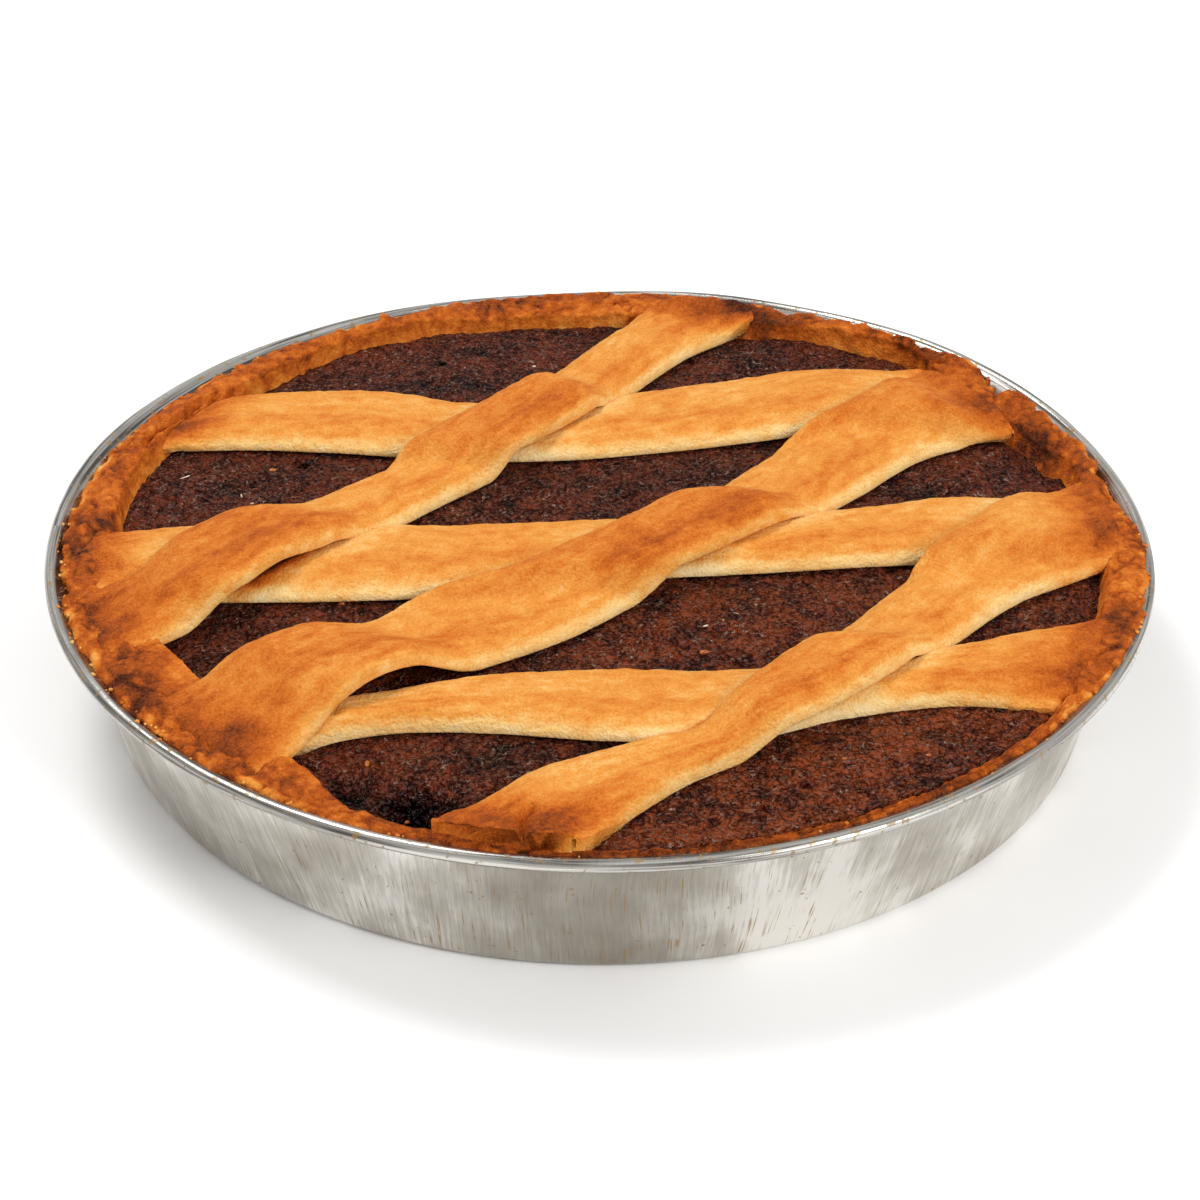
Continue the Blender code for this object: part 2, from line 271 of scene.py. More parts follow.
def cup_line(inset, corner_steps, wall_steps):
    """Radius and height from the axis along the floor, round the corner and up the wall."""
    corner_x = wall_radius(CORNER, 0) - CORNER * math.hypot(1, WALL_SLOPE)
    line = [(radius, inset) for radius in (0.0, 35.0, 70.0, 95.0, 108.0)]
    for step in range(corner_steps + 1):
        angle = -math.pi / 2 + (math.pi / 2 - math.atan(WALL_SLOPE)) * step / corner_steps
        line.append((corner_x + (CORNER - inset) * math.cos(angle),
                     CORNER + (CORNER - inset) * math.sin(angle)))
    start = line[-1][1]
    for step in range(1, wall_steps + 1):
        height = start + (LIP_START - start) * step / wall_steps
        line.append((wall_radius(height, inset), height))
    return line


inside = cup_line(SHEET, 6, 10) + [(wall_radius(LIP_BEND, SHEET) + 0.4, LIP_BEND)]
outside = cup_line(0.0, 8, 16) + [(wall_radius(LIP_TURN, 0.0) + 0.1, LIP_TURN),
                                  (wall_radius(LIP_BEND, 0.0) + 0.4, LIP_BEND - 1.4)]
bead = [(TIN_RADIUS - BEAD + BEAD * math.cos(math.radians(angle)),
         TIN_HEIGHT - BEAD + BEAD * math.sin(math.radians(angle))) for angle in range(150, -151, -12)]
tin_line = inside + bead + outside[::-1]
print("the tin's line has", len(tin_line), "points")

# %% Tin: turn the line
bm = bmesh.new()
chain = [bm.verts.new((radius, 0.0, height)) for radius, height in tin_line]
edges = [bm.edges.new(pair) for pair in zip(chain, chain[1:])]
bmesh.ops.spin(bm, geom=chain + edges, cent=(0, 0, 0), axis=(0, 0, 1), dvec=(0, 0, 0),
               angle=2 * math.pi, steps=360, use_merge=True, use_duplicate=False)
bmesh.ops.remove_doubles(bm, verts=bm.verts, dist=0.0001)
bmesh.ops.recalc_face_normals(bm, faces=bm.faces)
tin_mesh = mesh_of(bm, "baking_tin")
print("turned into", len(tin_mesh.polygons), "faces")

# %% Tin: push it out of round
# Angle in degrees from +X, how far the rim is pushed outwards and upwards there
OUTWARDS, UPWARDS = 1, 2
RIM_BEND = ((-150, 0.0, 0.0), (-25, 0.0, 0.0), (10, 0.1, 0.0), (45, 1.3, 0.6), (72, 0.0, 0.0),
            (97, -1.6, -1.1), (125, -0.6, -0.4), (143, 0.2, 0.1), (162, 0.8, 0.5), (185, 0.2, 0.1),
            (210, 0.0, 0.0))
FULL_TURN = 360


def around(table, column, angle):
    """A column of a table whose rows start with an angle in degrees, eased between the rows."""
    rows = np.array(table, float)
    degrees = (np.degrees(angle) - rows[0, 0]) % FULL_TURN + rows[0, 0]
    rows = np.vstack([rows, rows[0] + np.eye(rows.shape[1])[0] * FULL_TURN])
    place = np.clip(np.searchsorted(rows[:, 0], degrees, side="right") - 1, 0, len(rows) - 2)
    share = ease((degrees - rows[place, 0]) / (rows[place + 1, 0] - rows[place, 0]))
    return rows[place, column] * (1 - share) + rows[place + 1, column] * share


def bend_rim(points, weight):
    """Push points outwards and upwards as the rim is, in the share given by `weight`."""
    angle = np.arctan2(points[:, 1], points[:, 0])
    direction = np.column_stack([np.cos(angle), np.sin(angle)])
    points[:, :2] += direction * (around(RIM_BEND, OUTWARDS, angle) * weight)[:, None]
    points[:, 2] += around(RIM_BEND, UPWARDS, angle) * weight
    return points


def upper_wall(points):
    """0 near the tin's floor and 1 at its rim: the share of the rim's bend that a height takes."""
    return ease((points[:, 2] - 14) / 20)


points = points_of(tin_mesh)
radius = np.hypot(points[:, 0], points[:, 1])
on_wall = ease((points[:, 2] - 4) / 6) * ease((radius - 108) / 6)
denting = swells(points, (0.16, 34.0, 1), (0.05, 9.0, 2))
points[:, :2] *= (1 + on_wall * denting / np.maximum(radius, 1.0))[:, None]
set_points(tin_mesh, bend_rim(points, upper_wall(points)))
print("rim is out of round by", max(abs(row[OUTWARDS]) for row in RIM_BEND), "mm")

# %% [markdown]
# A finish that changes over a piece is fed to the shader by a few nodes. One function adds a node
# with its settings and links and returns its output, so that a material reads as a list of steps.
# It also turns a ramp's hex colours to linear ones.

# %% One node at a time
def add_node(tree, kind, inputs, output=0, stops=(), **settings):
    """Add a shader node and return one of its outputs. Its inputs are numbers, colours or other
    nodes' outputs, in order or by name; stops are a ramp's positions and colours."""
    node = tree.nodes.new("ShaderNode" + kind)
    for name, value in settings.items():
        setattr(node, name, value)
    for name, value in (inputs if isinstance(inputs, dict) else dict(enumerate(inputs))).items():
        if isinstance(value, bpy.types.NodeSocket):
            tree.links.new(value, node.inputs[name])
        else:
            node.inputs[name].default_value = value
    while stops and len(node.color_ramp.elements) < len(stops):
        node.color_ramp.elements.new(0.5)
    for index, (position, code) in enumerate(stops):
        node.color_ramp.elements[index].position = position
        node.color_ramp.elements[index].color = linear(code)
    return node.outputs[output]


print("so far", len(bpy.data.materials), "materials, with no node added")

# %% [markdown]
# Pressed aluminium that has been scoured for years is satin, not bright. Scratches run up and
# down the wall where the cloth went, and each catches the light, so roughness and colour change
# across them. They are drawn in a coordinate that is unrolled from the wall: the distance round
# the tin and the height, with the height shrunk so that the noise is stretched into lines. They
# lean to one side at the left of the front and to the other at its right.

# %% Scoured aluminium: noises on an unrolled wall
aluminium, tree = new_material("scoured_aluminium")
place = add_node(tree, "TexCoord", (), "Object")
x, y, z = add_node(tree, "SeparateXYZ", (place,)).node.outputs
angle = add_node(tree, "Math", (y, x), operation="ARCTAN2")
sway = add_node(tree, "TexNoise", {"Vector": place, "Scale": 0.014 / MM, "Detail": 1.0})
lean = add_node(tree, "Math", (sway, 0.5, -0.25), operation="MULTIPLY_ADD")
lean = add_node(tree, "Math", (x, -3.0, lean), operation="MULTIPLY_ADD")
slanted = add_node(tree, "Math", (lean, z), operation="MULTIPLY")
arc = add_node(tree, "Math", (angle, 0.12, slanted), operation="MULTIPLY_ADD")
radius = add_node(tree, "VectorMath", (add_node(tree, "CombineXYZ", (x, y)),), "Value", operation="LENGTH")
flat_height, run_height, drawn_arc = (add_node(tree, "Math", pair, operation="MULTIPLY")
                                      for pair in ((z, 0.05), (z, 0.03), (angle, 0.002)))
unrolled, run_place, drawn = (add_node(tree, "CombineXYZ", parts)
                              for parts in ((arc, flat_height), (arc, run_height), (radius, z, drawn_arc)))
# Where it is read, waves to the millimetre, detail, roughness, distortion. Real scratches are
# 0.1 mm wide and the bead's lines finer; here they are 0.7 and 0.9 mm, so that they show.
lines, broad, clouds, draw_lines, runs, breaks, specks = (
    add_node(tree, "TexNoise", {"Vector": where, "Scale": fineness / MM, "Detail": detail,
                                "Roughness": roughness, "Distortion": distortion})
    for where, fineness, detail, roughness, distortion in (
        (unrolled, 1 / 0.7, 3.0, 0.7, 0), (unrolled, 1 / 6.3, 2.0, 0.5, 0), (place, 0.055, 3.0, 0.5, 0),
        (drawn, 1 / 0.9, 3.0, 0.7, 0), (run_place, 2.3, 1.5, 0.6, 0.3), (place, 0.17, 2.0, 0.5, 0),
        (place, 0.62, 1.0, 0.5, 0)))
print("the wall is unrolled for seven noises")

# %% [markdown]
# Right of the front's middle a painted reflection makes the wall bright, and in the middle a
# painted reflection makes it darker. The bead was drawn along its length, so its lines run round
# it, and painted shade makes a dark line in the groove below it.

# %% Scoured aluminium: bare metal
GROOVE = 34.7


def near_value(tree, value, middle, near, far, most=1.0):
    """`most` where a value is within `near` of a middle, fading to 0 where it is `far` from it."""
    away = add_node(tree, "Math", (value, middle), operation="SUBTRACT")
    away = add_node(tree, "Math", (away,), operation="ABSOLUTE")
    return add_node(tree, "MapRange", {"Value": away, "From Min": far, "From Max": near, "To Max": most})


wear_and_painted_reflection = clouds
# Painted reflection: the wall is brightened right of the front's middle
for noise, amount in ((lines, 0.6), (broad, 0.25), (near_value(tree, x, 0.042, 0.01, 0.034, 0.22), 1.0)):
    wear_and_painted_reflection = add_node(tree, "Math", (noise, amount, wear_and_painted_reflection), operation="MULTIPLY_ADD")
wear_and_painted_reflection = add_node(tree, "MapRange", {"Value": wear_and_painted_reflection, "From Min": 0.64, "From Max": 1.21})
metal = add_node(tree, "ValToRGB", (wear_and_painted_reflection,), stops=((0.1, "#A39D93"), (0.4, "#B8B3AA"), (0.6, "#C9C5BD"),
                                                   (0.85, "#E6E3DD")))
bead_metal = add_node(tree, "ValToRGB", (draw_lines,), stops=((0.38, "#5E5B57"), (0.48, "#A29E98"),
                                                              (0.6, "#D2CFC9")))
on_bead = add_node(tree, "MapRange", {"Value": z, "From Min": (GROOVE - 0.5) * MM,
                                       "From Max": (GROOVE + 0.3) * MM})
# Painted reflection: the wall is darkened at the front's middle
for share, other in ((near_value(tree, x, 0.0, 0.004, 0.034, 0.75), linear("#8A8377")), (on_bead, bead_metal),
                     # Painted shade: the groove under the bead is darkened
                     (near_value(tree, z, GROOVE * MM, 0.5 * MM, 1.3 * MM, 0.7), linear("#6B6862"))):
    metal = add_node(tree, "Mix", {0: share, 6: metal, 7: other}, 2, data_type="RGBA")
print("wall, bead and groove")

# %% [markdown]
# Syrup that boiled over has dried to thin ochre runs down the wall, broken here and there, and to
# specks on wall and bead. It is not metal, so the metallic value drops where it lies.

# %% Scoured aluminium: dried syrup
def feed_shader(tree, outputs):
    """Link outputs to the shader's inputs of those names."""
    for name, output in outputs.items():
        tree.links.new(output, tree.nodes["Principled BSDF"].inputs[name])
    print(len(tree.nodes), "nodes in the material")


runs, broken, speck_mask = (
    add_node(tree, "MapRange", {"Value": noise, "From Min": low, "From Max": high})
    for noise, low, high in ((runs, 0.6, 0.66), (breaks, 0.46, 0.58), (specks, 0.73, 0.78)))
grime = add_node(tree, "MapRange", {"Value": specks, "From Min": 0.6, "From Max": 0.68, "To Max": 0.9})
below_bead = add_node(tree, "Math", (1.0, on_bead), operation="SUBTRACT")
stain = runs
for operation, other in (("MULTIPLY", broken), ("MULTIPLY", below_bead),
                         ("MAXIMUM", add_node(tree, "Math", (grime, on_bead), operation="MULTIPLY")),
                         ("MAXIMUM", speck_mask), ("MULTIPLY", 0.85)):
    stain = add_node(tree, "Math", (stain, other), operation=operation)
satin = add_node(tree, "MapRange", {"Value": wear_and_painted_reflection, "To Min": 0.44, "To Max": 0.28})
ridges = add_node(tree, "Mix", {0: on_bead, 2: lines, 3: draw_lines}, data_type="FLOAT")
feed_shader(tree, {
    "Base Color": add_node(tree, "Mix", {0: stain, 6: metal, 7: linear("#8A6C36")}, 2, data_type="RGBA"),
    "Metallic": add_node(tree, "Math", (1.0, stain), operation="SUBTRACT"),
    "Roughness": add_node(tree, "Math", (on_bead, -0.08, satin), operation="MULTIPLY_ADD"),
    "Normal": add_node(tree, "Bump", {"Strength": 0.4, "Distance": 0.2 * MM, "Height": ridges})})

# %% [markdown]
# A finished mesh is scaled to metres itself, so that its object stays at the origin, unturned and
# unscaled, where its material's coordinates hold. It rides on the tart's one body and takes the
# place of the imported solid that it covers.

# %% Hand the tin to the frame
def add_piece(mesh, material, slot, *nodes):
    """Scale a finished mesh from millimetres to metres and hand it to the frame."""
    mesh.transform(Matrix.Scale(MM, 4))
    mesh.materials.append(material)
    piece = bpy.data.objects.new(mesh.name, mesh)
    bpy.context.scene.collection.objects.link(piece)
    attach(piece, "root")
    if nodes:
        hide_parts(*nodes)
    print(mesh.name, sum(len(face.vertices) - 2 for face in mesh.polygons), "triangles")


add_piece(tin_mesh, aluminium, "tin", "tin")

# %% [markdown]
# ## The filling
#
# Ricotta, eggs and boiled wheat set to a moist dark crumb with a fine, slightly glossy skin. The
# filling stops where the crust begins, and the crust's rim wanders, because it was pressed by
# thumb, so the measures of the rim come first and both pieces use them. The filling is level at
# its edge and domed in the middle, and each lump or dent on it is a soft spot of height.

# %% Crust: where its rim runs
# Angle in degrees, radius where the filling meets the crust, how far the inner face leans
# outwards, height of the inner edge, height of the outer edge, radius of the outer edge
RIM = (
    (-22, 117.5, 1.6, 38.4, 38.4, 127.6), (-8, 117, 2.0, 38.6, 38.6, 128.0),
    (5, 116, 1.5, 39.0, 38.9, 126.4), (16, 117, 3.0, 39.4, 39.2, 125.0),
    (27, 112.5, 2.5, 39.6, 39.4, 123.6), (38, 112, 1.5, 39.8, 39.4, 123.4),
    (50, 120, 1.0, 39.6, 39.4, 123.6), (63, 117, 1.2, 39.4, 39.0, 124.0),
    (71, 111.5, 1.5, 39.2, 39.2, 124.0), (90, 111.6, 1.4, 39.0, 39.6, 124.3),
    (106, 113, 1.6, 39.0, 39.4, 124.3), (113, 115, 3.0, 39.0, 38.9, 123.8),
    (122, 117, 1.5, 38.8, 38.7, 123.8), (138, 114, 2.0, 38.8, 38.4, 123.6),
    (150, 114, 2.0, 39.2, 38.4, 123.8), (166, 114, 2.0, 39.0, 38.4, 124.4),
    (185, 113, 2.0, 38.8, 38.3, 125.6), (206, 107.6, 1.6, 38.3, 37.9, 126.0),
    (214, 107, 1.6, 38.4, 37.8, 126.0), (236, 113.5, 1.5, 38.3, 37.6, 125.8),
    (247, 120.6, 1.2, 37.2, 37.2, 125.6), (270, 122.0, 0.8, 36.6, 36.9, 125.2),
    (292, 122.0, 0.8, 36.6, 37.0, 125.2), (322, 121.8, 1.0, 37.0, 37.4, 125.6),
)
MEETING, LEANING, INNER_TOP, OUTER_TOP, OUTER_EDGE = range(1, 6)
widths = [row[OUTER_EDGE] - row[MEETING] for row in RIM]
print("the rim is", round(min(widths), 1), "to", round(max(widths), 1), "mm broad")

# %% Filling: its level, and soft spots
FILLING_EDGE = 35.0
DOME = 1.6
DOME_RADIUS = 114.0


def filling_level(places):
    """Height of the filling before its unevenness: level at the edge, domed in the middle."""
    share = np.clip(np.hypot(places[:, 0], places[:, 1]) / DOME_RADIUS, 0, 1)
    return FILLING_EDGE + DOME * (1 - share ** 2)


def spots(places, table):
    """Sum of soft round or oval spots: (x, y, radius along, radius across, turn in degrees, amount)."""
    total = np.zeros(len(places))
    for x, y, along, across, turn, amount in table:
        cosine, sine = math.cos(math.radians(turn)), math.sin(math.radians(turn))
        dx, dy = places[:, 0] - x, places[:, 1] - y
        reach = ((dx * cosine + dy * sine) / along) ** 2 + ((dy * cosine - dx * sine) / across) ** 2
        total += amount * np.exp(-reach)
    return total


print("the filling is", FILLING_EDGE, "mm high at its edge and", FILLING_EDGE + DOME, "in the middle")

# %% [markdown]
# A round grid would crowd its faces in the middle, so a square grid is pressed into a disc, which
# keeps them even. Its border is extruded three times, for the side and the foot that stand in the
# crust's cup, and the last border is filled.

# %% Filling: a grid pressed into a disc
FILLING_CELLS = 300
UNDER_CRUST = 0.8
BORDER_HEIGHT = 32.0
FOOT_RADII, FOOT_HEIGHTS = (105.7, 101.7), (8.1, 6.1)
bm = bmesh.new()
bmesh.ops.create_grid(bm, x_segments=FILLING_CELLS, y_segments=FILLING_CELLS, size=1.0)
for row in (1, 2, 3):
    made = bmesh.ops.extrude_edge_only(bm, edges=[edge for edge in bm.edges if edge.is_boundary])
    for item in made["geom"]:
        if isinstance(item, bmesh.types.BMVert):
            item.co.z = -row
bmesh.ops.holes_fill(bm, edges=[edge for edge in bm.edges if edge.is_boundary], sides=0)
bmesh.ops.recalc_face_normals(bm, faces=bm.faces)
filling_mesh = mesh_of(bm, "grain_filling")
points = points_of(filling_mesh)
filling_row = -np.round(points[:, 2]).astype(int)
points[:, :2] *= np.sqrt(1 - points[:, 1::-1] ** 2 / 2)
edge_radius = around(RIM, MEETING, np.arctan2(points[:, 1], points[:, 0])) + UNDER_CRUST
# Four kinds of row: the top, its border under the crust, and two at the foot
points[:, :2] *= np.choose(filling_row, (edge_radius, edge_radius, *FOOT_RADII))[:, None]
points[:, 2] = np.choose(filling_row, (filling_level(points), BORDER_HEIGHT, *FOOT_HEIGHTS))
print("a disc of", len(points), "points")

# %% [markdown]
# Between the strips the filling swells gently, and it sinks beside the crust. It has a few holes
# where steam came out, and deep pockets where it shrank away from crust and strips. All of it is
# grainy, so scattered crumbs are added to its height, and how near a point is to the seam between
# two crumbs, or how deep it lies in a hole or pocket, is kept for the material, which darkens these
# places with painted shade.

# %% Filling: swells, steam holes and pockets
# Each is x, y, reach along, reach across, turn in degrees, height
FILLING_SHAPES = (
    (-52, -98, 12, 8, -50, -2.2), (-38, -110, 9, 6, -25, -2.5), (62, -92, 34, 17, 38, 1.3),
    (30, -112, 30, 8, 10, 0.9), (-80, -88, 10, 7, 0, -1.0), (-95, -50, 9, 7, 60, -1.4),
    (-104, 10, 7, 12, 0, -1.0), (-105, 24, 10, 10, 0, 0.6), (-70, 27, 18, 7, 0, 0.6),
    (-60, 92, 24, 9, 35, -0.6), (-25, 92, 24, 9, 0, 0.8), (40, 92, 18, 7, 20, 0.4),
    (60, 97, 10, 4, -10, -1.2), (104, 38, 7, 5, -50, -1.2), (92, 32, 12, 6, 20, 0.8),
    (30, -36, 30, 10, 20, 0.6), (20, 28, 30, 9, 20, 0.5), (-22, 22, 14, 8, 30, 0.6),
    (-45, -62, 8, 4, 30, -2.2), (-30, -95, 18, 8, 10, 0.8), (105, -31, 12, 5, 20, 0.2),
    (62, -32, 9, 6, 50, -0.5),
)
HOLES = (
    (-73.6, 34.0, 1.5, 1.9, 0, -4.0), (-85.0, 23.6, 1.1, 1.2, 0, -2.0), (44, -100, 1.6, 1.2, 0, -1.6),
    (64, -99, 1.2, 1.0, 0, -2.0), (35, -108, 1.5, 1.2, 0, -1.6), (53, -97, 1.3, 1.0, 0, -1.2),
    (-32, 94, 2.2, 1.8, 0, -1.6), (-42, 88, 1.5, 1.5, 0, -1.2), (32, -54, 2.0, 1.5, 0, -1.5),
    (70, -93, 1.0, 1.0, 0, -1.4), (24, -113, 1.0, 1.0, 0, -1.2), (96, 36, 1.6, 1.2, 0, -1.2),
)
POCKETS = (
    (-37, -107, 7, 5, -20, -8.0), (-53, -98, 4, 6, 40, -2.5), (110, 37, 5, 4, -60, -2.0),
    (-41, -66, 8, 3.5, 25, -2.5), (-98, -50, 4, 4, 0, -1.5),
)
print(len(FILLING_SHAPES), "swells and dips,", len(HOLES), "steam holes,", len(POCKETS), "pockets")

# %% Filling: raise its top
def write_attribute(mesh, name, values):
    attribute = mesh.attributes.new(name, "FLOAT", "POINT")
    attribute.data.foreach_set("value", np.asarray(values, np.float32))


# It sinks beside the crust, except at the front right, where it rose
near_crust = ease((np.hypot(points[:, 0], points[:, 1]) - edge_radius + 5) / 5)
towards_front = ease((-points[:, 1] - 60) / 40) * ease((points[:, 0] + 15) / 20)
crumb, crumb_number = grains(points[:, :2] + 0.8 * swell(points, 3.0, 6)[:, None], 2.1, 5)
relief = spots(points, FILLING_SHAPES + HOLES + POCKETS) + near_crust * (1.6 * towards_front - 0.9)
relief += swells(points[:, :2], (0.45, 15.0, 3), (0.25, 6.0, 4), (0.35, 2.6, 7)) + 0.65 * (0.7 - crumb)
on_top, on_border = filling_row == 0, filling_row == 1
points[on_top, 2] += relief[on_top]
points[on_border, 2] += np.minimum(relief[on_border], 0) - 1
set_points(filling_mesh, points)
write_attribute(filling_mesh, "crumb_colour", crumb_number)
# Painted shade: 0 in the middle of a crumb, more in the seams, and past 1 in holes and pockets
seams = np.clip(crumb - 0.15, 0, 1) - 0.5 * spots(points, POCKETS) - 0.8 * spots(points, HOLES)
write_attribute(filling_mesh, "crumb_edge", seams)
filling_top = points[on_top]
print("filling between", filling_top[:, 2].min().round(1), "and", filling_top[:, 2].max().round(1), "mm high")

# %% [markdown]
# The filling is nearly black-brown where it is thick and glossy, redder where it browned at the
# front, and greyer where its skin dried. Each crumb has its own tone, and painted shade darkens
# the seams between crumbs, the holes, the pockets and small pits. Curling lines of glossy skin
# with painted highlights along them, and the pits, too fine for the mesh, are drawn where a noise
# passes through its middle value.

# %% Baked grain filling: noises
baked_filling, tree = new_material("baked_grain_filling", {"IOR": 1.45})
place = add_node(tree, "TexCoord", (), "Object")
crumbs, seams = (add_node(tree, "Attribute", (), "Fac", attribute_name=name)
                 for name in ("crumb_colour", "crumb_edge"))
# Size of the lumps in millimetres, detail, distortion
clouds, patches, coarse, fine, curling, pitting = (
    add_node(tree, "TexNoise", {"Vector": place, "Scale": 1 / (size * MM), "Detail": detail,
                                "Roughness": 0.6, "Distortion": distortion})
    for size, detail, distortion in ((16.0, 3.0, 0), (6.0, 2.0, 0), (3.2, 3.0, 0), (0.9, 3.0, 0),
                                     (2.1, 0.0, 0.7), (1.7, 0.0, 0.7)))
curls = near_value(tree, curling, 0.5, 0.0, 0.055)
pits = near_value(tree, pitting, 0.5, 0.0, 0.09)
print("crumbs, seams, four noises, curls and pits")

# %% Baked grain filling: colour
# Painted shade: pits, seams, holes and pockets darken the colour
shade = -0.25
for value, amount in ((pits, -0.12), (seams, -0.16), (fine, 0.5), (crumbs, 0.1), (clouds, 0.7),
                      (coarse, 0.45), (patches, 0.5)):
    shade = add_node(tree, "Math", (value, amount, shade), operation="MULTIPLY_ADD")
dark, red = (add_node(tree, "ValToRGB", (shade,), stops=tuple(zip((0.5, 0.7, 0.95), codes)))
             for codes in (("#0A0302", "#37130A", "#6C2E18"), ("#120502", "#48190A", "#8C401B")))
x, y = add_node(tree, "SeparateXYZ", (place,)).node.outputs[:2]
frontwards = add_node(tree, "MapRange", {"Value": y, "From Min": 0.02, "From Max": -0.1})
rightwards = add_node(tree, "MapRange", {"Value": x, "From Min": -0.06, "From Max": 0.04})
reddening = add_node(tree, "Math", (frontwards, rightwards), operation="MULTIPLY")
colour = add_node(tree, "Mix", {0: reddening, 6: dark, 7: red}, 2, data_type="RGBA")
print("dark brown, redder at the front right")

# %% Baked grain filling: glossy skin and painted highlights
open_air = add_node(tree, "MapRange", {"Value": seams, "From Min": 1.5, "From Max": 1.0})
breaks = add_node(tree, "MapRange", {"Value": fine, "From Min": 0.47, "From Max": 0.56})
# Painted highlights: a pale colour mixed in along the curling lines of skin
painted_glints = add_node(tree, "MapRange", {"Value": coarse, "From Min": 0.3, "From Max": 0.6, "To Min": 0.15})
for factor in (breaks, curls, open_air, 0.75):
    painted_glints = add_node(tree, "Math", (painted_glints, factor), operation="MULTIPLY")
sheen = add_node(tree, "MapRange", {"Value": curls, "From Min": 0.35, "To Min": 0.04, "To Max": 0.5})
sheen = add_node(tree, "Math", (sheen, open_air), operation="MULTIPLY")
surface = fine
for value, amount in ((coarse, 0.8), (pits, -0.6), (curls, 0.7)):
    surface = add_node(tree, "Math", (value, amount, surface), operation="MULTIPLY_ADD")
feed_shader(tree, {
    "Base Color": add_node(tree, "Mix", {0: painted_glints, 6: colour, 7: linear("#C4A08C")}, 2, data_type="RGBA"),
    "Roughness": add_node(tree, "MapRange", {"Value": curls, "To Min": 0.42, "To Max": 0.18}),
    "Specular IOR Level": add_node(tree, "Math", (breaks, 0.3, sheen), operation="MULTIPLY_ADD"),
    "Normal": add_node(tree, "Bump", {"Strength": 1.0, "Distance": 1.2 * MM, "Height": surface})})
add_piece(filling_mesh, baked_filling, "filling", "filling")

# %% [markdown]
# ## The crust
#
# One sheet of shortcrust is pressed into the tin and trimmed by thumb along the rim, so the rim is
# a broad ragged band. It crumbles at its outer edge, is lumpy on top, and has cracked where the
# strips pulled on it. These marks are written down first: where the edge broke off, where lumps
# stand up, and the lines of the cracks, which run on into the strips' ends.

# %% Crust: its ragged edge
EDGE_LIMIT = 128.6
TRIM_RADIUS = 124.0
# Places where the edge has broken off: middle and half width in degrees, depth
BROKEN = (
    (47.3, 0.7, 2.2), (34.3, 1.9, 3.4), (8.0, 5.0, 2.0), (75.5, 3.2, 1.3), (114.8, 0.8, 0.9),
    (117.3, 0.5, 0.7), (121.5, 2.2, 1.0), (128.5, 1.4, 0.6), (-12.0, 0.6, 1.2), (192.6, 1.2, 1.6),
    (206.0, 0.8, 1.2), (27.0, 0.5, 1.4),
)


def ragged_edge(angle):
    """Radius of the crust's outer edge: broad waves, thumb dents, crumbs, and places broken off."""
    round_rim = np.column_stack([np.cos(angle), np.sin(angle)]) * TRIM_RADIUS
    degrees = np.degrees(angle)
    edge = around(RIM, OUTER_EDGE, angle)
    edge += swells(round_rim, (0.5, 14.0, 21), (0.6, 5.5, 22), (0.3, 2.3, 23), (0.25, 1.0, 24))
    edge += 0.9 * ease(1.6 - np.abs(degrees - 32) / 22) * swell(round_rim, 3.4, 25)
    for middle, half, depth in BROKEN:
        away = np.abs((degrees - middle + FULL_TURN / 2) % FULL_TURN - FULL_TURN / 2)
        edge -= depth * (1 - ease((away - half) / 0.7))
    return np.minimum(edge + 0.6, EDGE_LIMIT)


print("the edge is broken off in", len(BROKEN), "places")

# %% Crust: lumps and cracks
# Lumps and dents of the band: x, y, reach along, reach across, turn, height
BAND_SHAPES = (
    (-59, 109, 2.6, 3.0, 0, 1.8), (-44, 103, 5, 2.6, 30, -1.0), (-112, -37, 2.2, 8.5, 12, -1.3),
    (-117, -30, 3.0, 7.0, 15, 0.7), (-104, -64, 5, 3, -40, 0.7), (-93, -78, 6, 3, -45, 0.8),
    (-66, -96, 7, 4, -40, 0.6), (-48, -112, 3, 2, -20, 0.9), (79, 92, 5, 3, -50, 1.0),
    (92, 80, 8, 3.4, -42, 2.0), (105, 63, 5, 3.5, -60, 1.8), (111, 54, 4, 3, -60, 1.5),
    (100, 73, 1.6, 4, 45, -1.2), (109, 41, 7, 3.5, -55, -3.0), (103, 46.5, 4, 3, -60, -1.6),
    (117, 40, 4, 4, 0, 0.9), (121, 26, 3, 5, 0, 0.7), (121, -3, 3, 5, 0, 0.8),
    (108, -52, 5, 4, 40, 0.9), (105, -60, 4, 3, 40, 0.5), (102, -62, 1.6, 1.6, 0, -0.9),
    (72, 103, 4, 2.5, -35, 1.2), (0, 118, 20, 2.2, 0, 0.5), (47, 110, 6, 5, 0, -1.6),
    (-18, 121, 8, 1.6, 10, 0.5),
)
